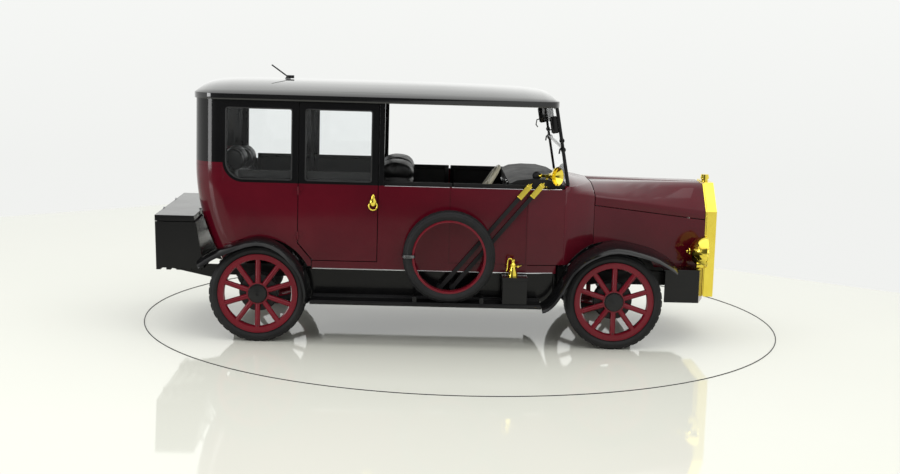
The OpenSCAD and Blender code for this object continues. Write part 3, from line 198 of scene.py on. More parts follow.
def build_hide_grain(tree, given, out):
    cells = tree.add("ShaderNodeTexVoronoi", feature="DISTANCE_TO_EDGE")
    tree.feed(cells.inputs["Vector"], given["Vector"])
    tree.feed(cells.inputs["Scale"], given["Scale"])
    edge = tree.spread(cells.outputs["Distance"], 0.0, 0.25)
    fine = tree.noise(given["Vector"], tree.math("MULTIPLY", given["Scale"], 3.0), 3.0)
    tree.feed(out["Height"], tree.math("ADD", edge, tree.math("MULTIPLY", fine, 0.35)))
    tree.feed(out["Tone"], tree.spread(tree.noise(given["Vector"], 7.0, 5.0), 0.3, 0.7))


def build_polish_marks(tree, given, out):
    tree.feed(out["Tone"], tree.spread(tree.noise(given["Vector"], 11.0, 5.0, 0.6), 0.35, 0.7))
    haze = tree.spread(tree.noise(given["Vector"], 46.0, 4.0), 0.3, 0.75)
    tree.feed(out["Haze"], haze)


def build_window_band(tree, given, out):
    place = tree.split(given["Vector"])
    parts = []
    for axis, middle, half in (("X", "Middle X", "Half X"), ("Z", "Middle Z", "Half Z")):
        off = tree.math("ABSOLUTE", tree.math("SUBTRACT", place[axis], given[middle]))
        past = tree.math("SUBTRACT", off, tree.math("SUBTRACT", given[half], given["Radius"]))
        parts.append(tree.math("POWER", tree.math("MAXIMUM", past, 0.0), 2.0))
    reach = tree.math("SQRT", tree.math("ADD", parts[0], parts[1]))
    edge = tree.math("ADD", given["Radius"], given["Margin"])
    tree.feed(out["Mask"], tree.math("LESS_THAN", reach, edge))


def number_in(label, value):
    return (label, "NodeSocketFloat", value)


LACQUER_FLOW = shared_effect("lacquer flow", [PLACE_IN, number_in("Scale", 600.0)],
                             ["Height", "Shift"], build_lacquer_flow)
ROAD_DUST = shared_effect("road dust", [PLACE_IN, number_in("Top", 0.6), number_in("Amount", 0.2)],
                          ["Mask"], build_road_dust)
HIDE_GRAIN = shared_effect("hide grain", [PLACE_IN, number_in("Scale", 260.0)],
                           ["Height", "Tone"], build_hide_grain)
POLISH_MARKS = shared_effect("polish marks", [PLACE_IN], ["Tone", "Haze"], build_polish_marks)
WINDOW_BAND = shared_effect(
    "window band",
    [PLACE_IN] + [number_in(label, 0.1) for label in
                  ("Middle X", "Middle Z", "Half X", "Half Z", "Radius", "Margin")],
    ["Mask"], build_window_band)

MAROON = (0.095, 0.004, 0.011, 1)
MAROON_DEEP = (0.07, 0.002, 0.008, 1)
BLACK = (0.004, 0.004, 0.0045, 1)
BLACK_SOFT = (0.006, 0.006, 0.0065, 1)
DUST = (0.11, 0.1, 0.085, 1)
BRASS = (0.88, 0.71, 0.1, 1)
BRASS_TONED = (0.79, 0.58, 0.065, 1)
GLASS_TONED = (0.86, 0.88, 0.885, 1)


def new_finish(name):
    material = bpy.data.materials.new(name)
    material.use_nodes = True
    tree = Tree(material.node_tree)
    skin = material.node_tree.nodes["Principled BSDF"]
    place = tree.add("ShaderNodeTexCoord").outputs["Object"]
    return material, tree, skin, place


def set_skin(skin, **values):
    for key, value in values.items():
        skin.inputs[key.replace("_", " ")].default_value = value


def lacquer(name, light, deep, rough=0.06, coat=0.12, dust=0.05, second=None):
    """Gloss paint; second is (light, deep, mask) of another colour laid over part of it."""
    material, tree, skin, place = new_finish(name)
    flow = tree.group(LACQUER_FLOW, Vector=place, Scale=520.0)
    colour = tree.mix(flow["Shift"], light, deep)
    if second:
        other = tree.mix(flow["Shift"], second[0], second[1])
        colour = tree.mix(second[2](tree, place), colour, other)
    grime = tree.group(ROAD_DUST, Vector=place, Top=0.75, Amount=dust)["Mask"]
    tree.feed(skin.inputs["Base Color"], tree.mix(grime, colour, DUST))
    dull = tree.math("MULTIPLY", grime, 1.2)
    shine = tree.math("MULTIPLY", flow["Shift"], 0.06)
    tree.feed(skin.inputs["Roughness"], tree.math("ADD", tree.math("ADD", dull, shine), rough))
    tree.feed(skin.inputs["Normal"], tree.bump(flow["Height"], 0.012, 0.002))
    set_skin(skin, Coat_Weight=coat, Coat_Roughness=0.03, Specular_IOR_Level=0.22)
    return material


def quarter_mask(tree, place):
    """Black round the quarter window, above the rear line, round the doors' windows and inside the cabin."""
    window_x, rear_line, frame_foot = -1.372, 1.332, 1.187
    cabin_rear, cabin_foot, wall = -1.6, 1.0, 0.022
    axes = tree.split(place)
    window = tree.group(WINDOW_BAND, Vector=place, Radius=0.13, Margin=0.024,
                        **{"Middle X": window_x, "Middle Z": 1.476, "Half X": 0.245, "Half Z": 0.265})["Mask"]
    rear = tree.math("GREATER_THAN", axes["Z"], rear_line)
    doors = tree.math("MULTIPLY", tree.math("GREATER_THAN", axes["X"], window_x),
                      tree.math("GREATER_THAN", axes["Z"], frame_foot))
    within = tree.math("LESS_THAN", tree.math("ABSOLUTE", axes["Y"]), body_half - wall)
    inner = tree.math("MULTIPLY", within, tree.math("GREATER_THAN", axes["X"], cabin_rear))
    cabin = tree.math("MULTIPLY", inner, tree.math("GREATER_THAN", axes["Z"], cabin_foot))
    return tree.math("MAXIMUM", tree.math("MAXIMUM", window, rear), tree.math("MAXIMUM", doors, cabin))


def hubcap_mask(tree, place):
    """Black cap at the middle of each wheel, on the outside."""
    axes = tree.split(place)
    middle, half = (front_x + rear_x) / 2, (front_x - rear_x) / 2
    across = tree.math("SUBTRACT", tree.math("ABSOLUTE", tree.math("SUBTRACT", axes["X"], middle)), half)
    up = tree.math("SUBTRACT", axes["Z"], axle_z)
    radius = tree.math("SQRT", tree.math("ADD", tree.math("POWER", across, 2.0), tree.math("POWER", up, 2.0)))
    near = tree.math("LESS_THAN", radius, 0.0735)
    out = tree.math("GREATER_THAN", tree.math("ABSOLUTE", axes["Y"]), wheel_y + 0.0985)
    return tree.math("MULTIPLY", near, out)


def polished(name, light, toned, rough=0.07, dark=None):
    """Polished metal with faint haze; dark is (colour, mask) of a rubber part in the same solid."""
    material, tree, skin, place = new_finish(name)
    marks = tree.group(POLISH_MARKS, Vector=place)
    colour = tree.mix(tree.math("MULTIPLY", marks["Tone"], 0.55), light, toned)
    shine = tree.math("ADD", tree.math("MULTIPLY", marks["Haze"], 0.07), rough)
    if dark:
        mask = dark[1](tree, place)
        colour = tree.mix(mask, colour, dark[0])
        shine = tree.math("ADD", shine, tree.math("MULTIPLY", mask, 0.4))
        tree.feed(skin.inputs["Metallic"], tree.math("SUBTRACT", 1.0, mask))
        set_skin(skin, Specular_IOR_Level=0.2)
    else:
        set_skin(skin, Metallic=1.0)
    tree.feed(skin.inputs["Base Color"], colour)
    tree.feed(skin.inputs["Roughness"], shine)
    tree.feed(skin.inputs["Normal"], tree.bump(marks["Haze"], 0.01, 0.001))
    return material


def grained(name, light, deep, scale, rough, depth, dust=0.0):
    """Leather, rubber or moulded plastic with a fine raised grain."""
    material, tree, skin, place = new_finish(name)
    grain = tree.group(HIDE_GRAIN, Vector=place, Scale=scale)
    colour = tree.mix(grain["Tone"], light, deep)
    grime = tree.group(ROAD_DUST, Vector=place, Top=0.7, Amount=dust)["Mask"]
    tree.feed(skin.inputs["Base Color"], tree.mix(grime, colour, DUST))
    tree.feed(skin.inputs["Roughness"], tree.spread(grain["Tone"], 0.0, 1.0, rough - 0.06, rough + 0.06))
    tree.feed(skin.inputs["Normal"], tree.bump(grain["Height"], depth, 0.001))
    set_skin(skin, Specular_IOR_Level=0.22)
    return material


def clear_glass(name, tint):
    material, tree, skin, place = new_finish(name)
    marks = tree.group(POLISH_MARKS, Vector=place)
    tone = tree.math("MULTIPLY", marks["Tone"], 0.15)
    tree.feed(skin.inputs["Base Color"], tree.mix(tone, tint, GLASS_TONED))
    tree.feed(skin.inputs["Roughness"], tree.math("MULTIPLY", marks["Haze"], 0.012))
    set_skin(skin, Transmission_Weight=1.0, IOR=1.3)
    return material


def lever_mask(tree, place):
    """Black bars below the brass grips of the hand levers, which lean at one angle."""
    run, rise = 0.636, 0.772
    axes = tree.split(place)
    along = tree.math("ADD", tree.math("MULTIPLY", axes["X"], run), tree.math("MULTIPLY", axes["Z"], rise))
    over = tree.math("SUBTRACT", tree.math("MULTIPLY", axes["Z"], run),
                     tree.math("MULTIPLY", axes["X"], rise))
    foot = tree.spread(over, 0.234, 0.235, 1.3, 1.2315)
    return tree.math("LESS_THAN", along, foot)


def ring_mask(tree, place):
    """Brass of the ring handles, which stand out past the doors' faces at the closing edge."""
    axes = tree.split(place)
    out = tree.math("GREATER_THAN", tree.math("ABSOLUTE", axes["Y"]), body_half + 0.0012)
    ahead = tree.math("GREATER_THAN", axes["X"], -0.64)
    return tree.math("MULTIPLY", out, ahead)


def nose_mask(tree, place):
    """Maroon strip of the valance beside the radiator's shell."""
    return tree.math("GREATER_THAN", tree.split(place)["X"], 2.002)


def door_paint(name):
    """Maroon below and black round the window, with the ring handle in brass."""
    material = lacquer(name, MAROON, MAROON_DEEP, second=(BLACK, BLACK_SOFT, quarter_mask))
    tree = Tree(material.node_tree)
    skin = material.node_tree.nodes["Principled BSDF"]
    place = tree.add("ShaderNodeTexCoord").outputs["Object"]
    mask = ring_mask(tree, place)
    paint = skin.inputs["Base Color"].links[0].from_socket
    tree.feed(skin.inputs["Base Color"], tree.mix(mask, paint, BRASS))
    tree.feed(skin.inputs["Metallic"], mask)
    return material


PAINT = lacquer("maroon lacquer", MAROON, MAROON_DEEP)
TWO_TONE = lacquer("coachwork lacquer", MAROON, MAROON_DEEP, second=(BLACK, BLACK_SOFT, quarter_mask))
DOOR_PAINT = door_paint("door lacquer")
BLACK_PAINT = lacquer("black lacquer", BLACK, BLACK_SOFT, rough=0.13)
ROOF_PAINT = lacquer("roof lacquer", BLACK, BLACK_SOFT, rough=0.05, coat=0.9)
FRAME_PAINT = lacquer("chassis enamel", (0.02, 0.02, 0.021, 1), (0.013, 0.013, 0.014, 1),
                      rough=0.45, coat=0.1, dust=0.2)
WHEEL_PAINT = lacquer("wheel lacquer", (0.17, 0.006, 0.016, 1), (0.14, 0.004, 0.012, 1),
                      rough=0.18, dust=0.06, second=(BLACK_SOFT, (0.018, 0.018, 0.019, 1), hubcap_mask))
VALANCE_PAINT = lacquer("valance lacquer", BLACK, BLACK_SOFT, second=(MAROON, MAROON_DEEP, nose_mask))
BRASS_METAL = polished("polished brass", BRASS, BRASS_TONED)
LEVER_BRASS = polished("lever brass", BRASS, BRASS_TONED, dark=((0.012, 0.012, 0.013, 1), lever_mask))
CHROME = polished("chromed steel", (0.66, 0.67, 0.68, 1), (0.5, 0.51, 0.52, 1), rough=0.08)
STEEL = polished("blued steel", (0.2, 0.205, 0.21, 1), (0.12, 0.12, 0.125, 1), rough=0.16)
CORE_METAL = polished("radiator core", (0.16, 0.15, 0.13, 1), (0.06, 0.06, 0.055, 1), rough=0.4)
IRON = grained("engine iron", (0.12, 0.12, 0.125, 1), (0.06, 0.06, 0.06, 1), 90.0, 0.6, 0.3)
LEATHER = grained("black leather", (0.008, 0.008, 0.008, 1), (0.005, 0.005, 0.005, 1), 330.0, 0.38, 0.28)
RUBBER = grained("tyre rubber", (0.015, 0.015, 0.016, 1), (0.01, 0.01, 0.011, 1), 520.0, 0.6, 0.12, dust=0.07)
TRIM = grained("moulded trim", (0.02, 0.02, 0.021, 1), (0.013, 0.013, 0.014, 1), 420.0, 0.5, 0.15)
GASKET = grained("window rubber", (0.03, 0.03, 0.031, 1), (0.02, 0.02, 0.021, 1), 300.0, 0.45, 0.06)
IVORY = grained("pale moulding", (0.5, 0.47, 0.36, 1), (0.43, 0.4, 0.3, 1), 60.0, 0.3, 0.03)
GLASS = clear_glass("clear glass", (0.965, 0.98, 0.985, 1))

FINISHES = {
    "bonnet_sides bonnet_hinge scuttle side_panels bonnet_lid_left bonnet_lid_right front_door_left": PAINT,
    "rear_body upper_body": TWO_TONE,
    "rear_door_left rear_door_right": DOOR_PAINT,
    "front_wings rear_wings running_boards aerial windscreen_frame": BLACK_PAINT,
    "roof": ROOF_PAINT,
    "tool_box trunk_case trunk_rack trunk_lid": BLACK_PAINT,
    "chassis_frame cross_members tow_plates floor_pan": FRAME_PAINT,
    "front_axle rear_axle knuckle_left knuckle_right": FRAME_PAINT,
    "engine_block": IRON,
    "front_valance": VALANCE_PAINT,
    "radiator_shell headlamps gas_generator horn": BRASS_METAL,
    "hand_levers": LEVER_BRASS,
    "radiator_grille": CORE_METAL,
    "headlamp_lenses glazing door_glass_left door_glass_right": GLASS,
    "dashboard steering_column": TRIM,
    "front_seats rear_seat": LEATHER,
    "spare_tyre tyre_front_left tyre_front_right tyre_rear_left tyre_rear_right": RUBBER,
    "spare_rim wheel_front_left wheel_front_right wheel_rear_left wheel_rear_right": WHEEL_PAINT,
    "steering_wheel": IVORY,
}


def paint_nodes():
    for names, material in FINISHES.items():
        for name in names.split():
            nodes[name].data.materials.clear()
            nodes[name].data.materials.append(material)


# Stage
def make_floor():
    """Pale floor, cut off at the feet of two walls, with the stand's round edge."""
    bpy.ops.mesh.primitive_circle_add(vertices=128, radius=9, fill_type="NGON", location=(0, 1.4, 0))
    floor = bpy.context.object
    floor.name = "studio_floor"
    settle(floor)
    # Columns: a place at a wall's foot, the way out of the room there
    for spot, outward in (((2.86, 3.0, 0), (0.61, 0.8, 0)), ((-3.5, 6.7, 0), (-0.66, 0.75, 0))):
        edit()
        bpy.ops.mesh.select_all(action="SELECT")
        bpy.ops.mesh.bisect(plane_co=spot, plane_no=outward, clear_outer=True)
        leave()
    material, tree, skin, place = new_finish("studio floor")
    tone = tree.noise(place, 0.4, 3.0)
    tree.feed(skin.inputs["Base Color"], tree.mix(tone, (0.83, 0.83, 0.755, 1), (0.8, 0.805, 0.725, 1)))
    tree.feed(skin.inputs["Roughness"], tree.spread(tree.noise(place, 3.0, 4.0), 0.3, 0.7, 0.03, 0.06))
    set_skin(skin, Coat_Weight=0.08, Coat_Roughness=0.02, Specular_IOR_Level=0.22)
    floor.data.materials.append(material)
    edge = ring(2.55, 0.004, (0.19, 0.25, 0.001), "Z", 160)
    edge.name = "stand_edge"
    edge.data.materials.append(TRIM)


def make_room():
    """Pale walls: even where the camera sees them, and brighter behind the car for light and reflections."""
    world = bpy.data.worlds.new("studio")
    scene.world = world
    world.use_nodes = True
    sky = Tree(world.node_tree)
    back = world.node_tree.nodes["Background"]
    way = sky.split(sky.add("ShaderNodeTexCoord").outputs["Generated"])
    front = sky.spread(way["X"], 0.0, 0.13, 0.12, 0.85)
    walls = sky.spread(way["Y"], -0.9, 0.3, front, 1.02)
    rear = sky.spread(way["X"], -0.7, -0.9, 0.0, 1.1)
    ceiling = sky.spread(way["Z"], 0.25, 0.75, 0.0, 0.62)
    room = sky.math("MAXIMUM", sky.math("MAXIMUM", walls, rear), ceiling)
    path = sky.add("ShaderNodeLightPath").outputs
    seen = sky.math("MAXIMUM", path["Is Camera Ray"], path["Is Transmission Ray"])
    pale = sky.spread(way["Z"], -0.1, 0.12, 0.9, 0.985)
    bright = sky.math("ADD", sky.math("MULTIPLY", seen, pale),
                      sky.math("MULTIPLY", sky.math("SUBTRACT", 1.0, seen), room))
    sky.feed(back.inputs["Color"], (0.975, 0.985, 0.965, 1))
    sky.feed(back.inputs["Strength"], bright)


def make_lamps():
    """A large soft lamp overhead, and one at the rear that lights the body's rounded corner."""
    aim = Vector((0, 0, 0.8))
    # Columns: place, size across and along, watts
    lamps = (((0, -2.2, 6.5), 10.0, 10.0, 290), ((-11.2, -7.04, 2.1), 3.2, 4.5, 360))
    for spot, across, along, watts in lamps:
        bpy.ops.object.light_add(type="AREA", location=spot)
        lamp = bpy.context.object
        lamp.data.shape = "RECTANGLE"
        lamp.data.size = across
        lamp.data.size_y = along
        lamp.data.energy = watts
        lamp.rotation_mode = "QUATERNION"
        lamp.rotation_quaternion = (aim - Vector(spot)).to_track_quat("-Z", "Y")


# Modelling helpers
ACROSS = Matrix.Diagonal((1, -1, 1, 1))
FACING = 0.9


def edit():
    bpy.ops.object.mode_set(mode="EDIT")


def leave():
    bpy.ops.object.mode_set(mode="OBJECT")


def span(sign, near, far):
    """Least and greatest Y of what lies between two distances from the middle line, on one side."""
    return sorted((sign * near, sign * far))


def about(place, matrix):
    """A matrix that acts about a place instead of the origin."""
    place = Vector(place)
    return Matrix.Translation(place) @ matrix @ Matrix.Translation(-place)


def deselect():
    bpy.ops.object.select_all(action="DESELECT")


def only(piece):
    deselect()
    piece.select_set(True)
    bpy.context.view_layer.objects.active = piece


def settle(piece):
    only(piece)
    bpy.ops.object.transform_apply(location=True, rotation=True, scale=True)


def dress(piece, name, body, material, smooth=35):
    """Names a finished piece, paints it and sets it on its body."""
    settle(piece)
    piece.name = name
    piece.data.name = name
    piece.data.materials.clear()
    piece.data.materials.append(material)
    bpy.ops.object.shade_smooth_by_angle(angle=math.radians(smooth))
    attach(piece, body)


def finish_modifier(piece, kind, **settings):
    only(piece)
    made = piece.modifiers.new(kind.lower(), kind)
    for key, value in settings.items():
        setattr(made, key, value)
    bpy.ops.object.modifier_apply(modifier=made.name)


def pick(piece, chosen):
    """Selects just the faces for which chosen(centre, normal) is true, and stays in edit mode."""
    edit()
    bpy.ops.mesh.select_mode(type="FACE")
    bpy.ops.mesh.select_all(action="DESELECT")
    leave()
    for face in piece.data.polygons:
        face.select = bool(chosen(face.center, face.normal))
    edit()


def inset_faces(piece, chosen, steps):
    """Insets the chosen faces in steps of (thickness, depth)."""
    pick(piece, chosen)
    for thickness, depth in steps:
        bpy.ops.mesh.inset(thickness=thickness, depth=depth)
    leave()


def set_on_axis(piece, centre, axis):
    """Moves a piece that was made round Z to its centre and turns it to its axis."""
    turn = Vector((0, 0, 1)).rotation_difference(Vector(axis)).to_matrix().to_4x4()
    piece.matrix_world = Matrix.Translation(Vector(centre)) @ turn
    settle(piece)


def lathe(profile, centre, axis, steps=96):
    """Turns a row of (radius, along) points round an axis through centre."""
    deselect()
    bpy.ops.mesh.primitive_plane_add(size=0.1)
    piece = bpy.context.object
    edit()
    bpy.ops.mesh.select_mode(type="VERT")
    bpy.ops.mesh.select_all(action="SELECT")
    bpy.ops.mesh.merge(type="CENTER")
    here = Vector((0, 0, 0))
    for index, (radius, along) in enumerate(profile):
        there = Vector((radius, 0, along))
        if index == 0:
            bpy.ops.transform.translate(value=there - here)
        else:
            bpy.ops.mesh.extrude_region_move(TRANSFORM_OT_translate={"value": there - here})
        here = there
    bpy.ops.mesh.select_all(action="SELECT")
    bpy.ops.mesh.spin(steps=steps, angle=math.tau, center=(0, 0, 0), axis=(0, 0, 1))
    bpy.ops.mesh.select_all(action="SELECT")
    bpy.ops.mesh.remove_doubles(threshold=0.00002)
    bpy.ops.mesh.normals_make_consistent(inside=False)
    leave()
    set_on_axis(piece, centre, axis)
    return piece


def tube(points, radius, closed=False, sides=3):
    """A round bead or rod along a row of points."""
    line = bpy.data.curves.new("bead", "CURVE")
    line.dimensions = "3D"
    line.bevel_depth = radius
    line.bevel_resolution = sides
    line.use_fill_caps = not closed
    run = line.splines.new("POLY")
    run.points.add(len(points) - 1)
    for point, place in zip(run.points, points):
        point.co = (*place, 1)
    run.use_cyclic_u = closed
    piece = bpy.data.objects.new("bead", line)
    scene.collection.objects.link(piece)
    only(piece)
    bpy.ops.object.convert(target="MESH")
    return bpy.context.object


def block(low, high, edge, segments=3):
    """A box between two corners, with rounded edges."""
    deselect()
    low, high = Vector(low), Vector(high)
    bpy.ops.mesh.primitive_cube_add(size=1, location=(low + high) / 2)
    piece = bpy.context.object
    piece.scale = high - low
    settle(piece)
    edit()
    bpy.ops.mesh.select_all(action="SELECT")
    bpy.ops.mesh.bevel(offset=edge, segments=segments, affect="EDGES")
    leave()
    return piece


def join(pieces):
    deselect()
    for piece in pieces:
        piece.select_set(True)
    bpy.context.view_layer.objects.active = pieces[0]
    bpy.ops.object.join()
    return bpy.context.object


def ring(radius, thick, centre, axis="Y", steps=96):
    """A round wire ring about an axis along X, Y or Z."""
    points = []
    for step in range(steps):
        a = math.tau * step / steps
        across, up = radius * math.cos(a), radius * math.sin(a)
        points.append({"X": (0, across, up), "Y": (across, 0, up), "Z": (across, up, 0)}[axis])
    return tube([Vector(centre) + Vector(q) for q in points], thick, closed=True)


def copy_of(piece, matrix):
    """A copy with its own mesh, moved by a matrix that may mirror it."""
    only(piece)
    bpy.ops.object.duplicate()
    copy = bpy.context.object
    copy.data = copy.data.copy()
    copy.data.transform(matrix)
    if matrix.determinant() < 0:
        copy.data.flip_normals()
    return copy


# Smooth skins over the solids
# Columns: nodes, width of the rounded edges, least angle of an edge that is rounded, whether panels are flat
SKINS = (
    ("roof front_wings rear_wings scuttle bonnet_lid_left bonnet_lid_right", 0.0015, 50, False),
    ("headlamps steering_wheel spare_rim", 0.001, 50, False),
    ("radiator_shell trunk_case tool_box hand_levers running_boards front_valance", 0.004, 40, True),
    ("rear_door_left rear_door_right front_door_left side_panels rear_body upper_body", 0.002, 40, True),
    ("trunk_lid dashboard windscreen_frame aerial", 0.004, 40, True),
)


def make_skins():
    """Merged copies of the solids' meshes with rounded edges and smooth shading, shown in their place."""
    for names, width, angle, flat in SKINS:
        for name in names.split():
            source = nodes[name]
            skin = bpy.data.objects.new(f"{name}_skin", source.data.copy())
            scene.collection.objects.link(skin)
            only(skin)
            edit()
            bpy.ops.mesh.select_all(action="SELECT")
            bpy.ops.mesh.remove_doubles(threshold=0.00002)
            bpy.ops.mesh.dissolve_limited(angle_limit=math.radians(0.5))
            leave()
            finish_modifier(skin, "BEVEL", width=width, segments=2, limit_method="ANGLE",
                            angle_limit=math.radians(angle), use_clamp_overlap=True)
            dress(skin, f"{name}_skin", source["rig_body"], source.data.materials[0], 32)
            if flat:
                finish_modifier(skin, "WEIGHTED_NORMAL", keep_sharp=True, weight=80)
            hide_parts(name)


# Tyres
TREAD_DEPTH = 0.0045
SHOULDER_DEPTH = 0.0016
SHOULDER = 0.034
TYRE_STEPS = 144


def tread_tyre(centre, r_in, r_out, width, ribs):
    """A tyre with beads, moulded side rings and tread blocks raised from its crown."""
    half = width / 2
    crown = r_out - TREAD_DEPTH
    flank = r_out - SHOULDER
    side = [
        (r_in, half - 0.017), (r_in + 0.006, half - 0.01), (r_in + 0.012, half - 0.0065),
        (flank - 0.012, half - 0.0012), (flank - 0.009, half), (flank, half), (flank + 0.002, half - 0.0015),
        (r_out - 0.02, half - 0.0045), (crown - 0.006, half - 0.0135)]
    columns = [(crown - 0.0012 * (abs(along) / half) ** 2, along) for along in ribs]
    profile = [(r, -y) for r, y in side] + columns + [(r, y) for r, y in reversed(side)]
    profile.append(profile[0])
    piece = lathe(profile, (0, 0, 0), (0, 0, 1), TYRE_STEPS)
    middles = [(a + b) / 2 for a, b in zip(ribs, ribs[1:])]

    def step_at(spot):
        return int(round(math.atan2(spot.y, spot.x) / math.tau * TYRE_STEPS - 0.5)) % TYRE_STEPS

    def on_block(spot, normal):
        if math.hypot(spot.x, spot.y) < crown - 0.004 or abs(spot.z) > ribs[-1]:
            return False
        column = min(range(len(middles)), key=lambda i: abs(middles[i] - spot.z))
        if column % 2:
            return False
        gap = {0: 3, len(middles) - 1: 1}.get(column, 0 if column == 2 else 2)
        return column == len(middles) // 2 or step_at(spot) % 4 != gap

    def on_shoulder(spot, normal):
        radius = math.hypot(spot.x, spot.y)
        on_band = r_out - 0.021 < radius < crown - 0.0015 and abs(spot.z) > half - 0.014
        return on_band and step_at(spot) % 4 != 1

    for chosen, depth in ((on_block, TREAD_DEPTH), (on_shoulder, SHOULDER_DEPTH)):
        pick(piece, chosen)
        bpy.ops.mesh.extrude_region_shrink_fatten(TRANSFORM_OT_shrink_fatten={"value": depth})
        leave()
    set_on_axis(piece, centre, (0, -1, 0))
    return piece


# Edges of the tread's ribs and grooves, across the tyre
ROAD_RIBS = (-0.092, -0.056, -0.05, -0.019, -0.012, 0.012, 0.019, 0.05, 0.056, 0.092)
SPARE_RIBS = (-0.036, -0.022, -0.019, -0.006, 0.006, 0.019, 0.022, 0.036)


def make_tyres():
    road = tread_tyre((0, 0, axle_z), 0.2992, tyre_r, tyre_w, ROAD_RIBS)
    for end, x in (("front", front_x), ("rear", rear_x)):
        for side, sign in SIDES:
            tyre = copy_of(road, Matrix.Translation((x, sign * wheel_y, 0)))
            dress(tyre, f"road_tyre_{end}_{side}", f"wheel_{end}_{side}", RUBBER, 30)
            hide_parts(f"tyre_{end}_{side}")
    bpy.data.objects.remove(road)
    low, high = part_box("spare_tyre")
    spare = tread_tyre((low + high) / 2, 0.2772, (high.z - low.z) / 2, high.y - low.y, SPARE_RIBS)
    dress(spare, "spare_road_tyre", "body", RUBBER, 30)
    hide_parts("spare_tyre")


# Wheels
def make_wheel_trims():
    """Rim edge, valve and brake drum of one wheel, then copies for all four."""
    out = wheel_y + tyre_w / 2 - 0.0095
    edge = ring(0.2945, 0.0042, (0, -out, axle_z))
    valve = tube([(0, -out + 0.016, axle_z - 0.262), (0, -out - 0.001, axle_z - 0.24)], 0.0045)
    brake = lathe([(0.06, 0.0), (0.135, 0.0), (0.14, 0.005), (0.14, 0.05), (0.135, 0.055), (0.09, 0.058),
                   (0.06, 0.058)], (0, -wheel_y + 0.002, axle_z), (0, -1, 0), 64)
    parts = ((edge, "rim_edge", "wheel_red", WHEEL_PAINT), (valve, "tyre_valve", "tyre_rubber", RUBBER),
             (brake, "brake_drum", "chassis_paint", FRAME_PAINT))
    for end, x in (("front", front_x), ("rear", rear_x)):
        for side, sign in SIDES:
            flip = ACROSS if sign > 0 else Matrix.Identity(4)
            for piece, name, slot, material in parts:
                copy = copy_of(piece, Matrix.Translation((x, 0, 0)) @ flip)
                dress(copy, f"{name}_{end}_{side}", f"wheel_{end}_{side}", material)
    for piece, *_ in parts:
        bpy.data.objects.remove(piece)


# Seats
ROLL_OVERLAP = 0.08
CUSHION_FILL = 0.75
HEAD_FILL = 0.85
# Columns: share of a roll's radius, share of its length from its middle
ROLL_OUTLINE = ((0.0, -0.52), (0.8, -0.52), (0.93, -0.44), (1.0, -0.2),
                (1.0, 0.2), (0.93, 0.44), (0.8, 0.52), (0.0, 0.52))


def puffed(piece, voxel, cap):
    """Remeshes a closed form and blows it up as cloth, moving no point further than cap."""
    finish_modifier(piece, "REMESH", mode="VOXEL", voxel_size=voxel)
    starts = [vertex.co.copy() for vertex in piece.data.vertices]
    only(piece)
    cloth = piece.modifiers.new("cloth", "CLOTH")
    cloth.settings.use_pressure = True
    cloth.settings.uniform_pressure_force = 4
    cloth.settings.effector_weights.gravity = 0
    for number in range(1, 21):
        scene.frame_set(number)
    bpy.ops.object.modifier_apply(modifier=cloth.name)
    scene.frame_set(1)
    for vertex, start in zip(piece.data.vertices, starts):
        move = vertex.co - start
        if move.length > cap:
            vertex.co = start + move * (cap / move.length)
    finish_modifier(piece, "SUBSURF", levels=1, render_levels=1)
    return piece


def leaning(piece, foot, degrees):
    """Turns a piece about a line across the car through foot, its top to the rear."""
    piece.data.transform(about(foot, Matrix.Rotation(math.radians(-degrees), 4, "Y")))
    return piece


def fluted(low, high, count, edge):
    """Rolls side by side across the car as one form."""
    low, high = Vector(low), Vector(high)
    pitch = (high.y - low.y) / count
    rolls = []
    for index in range(count):
        a, b = low.copy(), high.copy()
        a.y = low.y + pitch * index - pitch * ROLL_OVERLAP
        b.y = low.y + pitch * (index + 1) + pitch * ROLL_OVERLAP
        rolls.append(block(a, b, min(edge, pitch * 0.45), 4))
    return join(rolls)


def bolsters(low, high, y, edge):
    """Two side rolls; the corners' second number is the distance from the seat's middle at y."""
    return [block((low[0], y + a, low[2]), (high[0], y + b, high[2]), edge, 4)
            for a, b in ((-high[1], -low[1]), (low[1], high[1]))]


def domed(centre, half_x, half_z, half_y, count, fullness=2.0):
    """Upright rolls side by side across the car, each an oval barrel; more fullness is squarer."""
    pitch = half_y * 2 / count
    rolls = []
    for index in range(count):
        end = 0.9 if index in (0, count - 1) else 0.985
        roll = lathe([(r * end, along * pitch) for r, along in ROLL_OUTLINE], (0, 0, 0), (0, 1, 0), 40)
        for vertex in roll.data.vertices:
            radius = math.hypot(vertex.co.x, vertex.co.z)
            if radius > 0:
                total = sum(abs(part / radius) ** fullness for part in (vertex.co.x, vertex.co.z))
                share = total ** (-1 / fullness)
                vertex.co.x *= share
                vertex.co.z *= share
        spot = Vector(centre) + Vector((0, -half_y + pitch * (index + 0.5), 0))
        roll.data.transform(Matrix.Translation(spot) @ Matrix.Diagonal((half_x, 1, half_z, 1)))
        rolls.append(roll)
    return join(rolls)


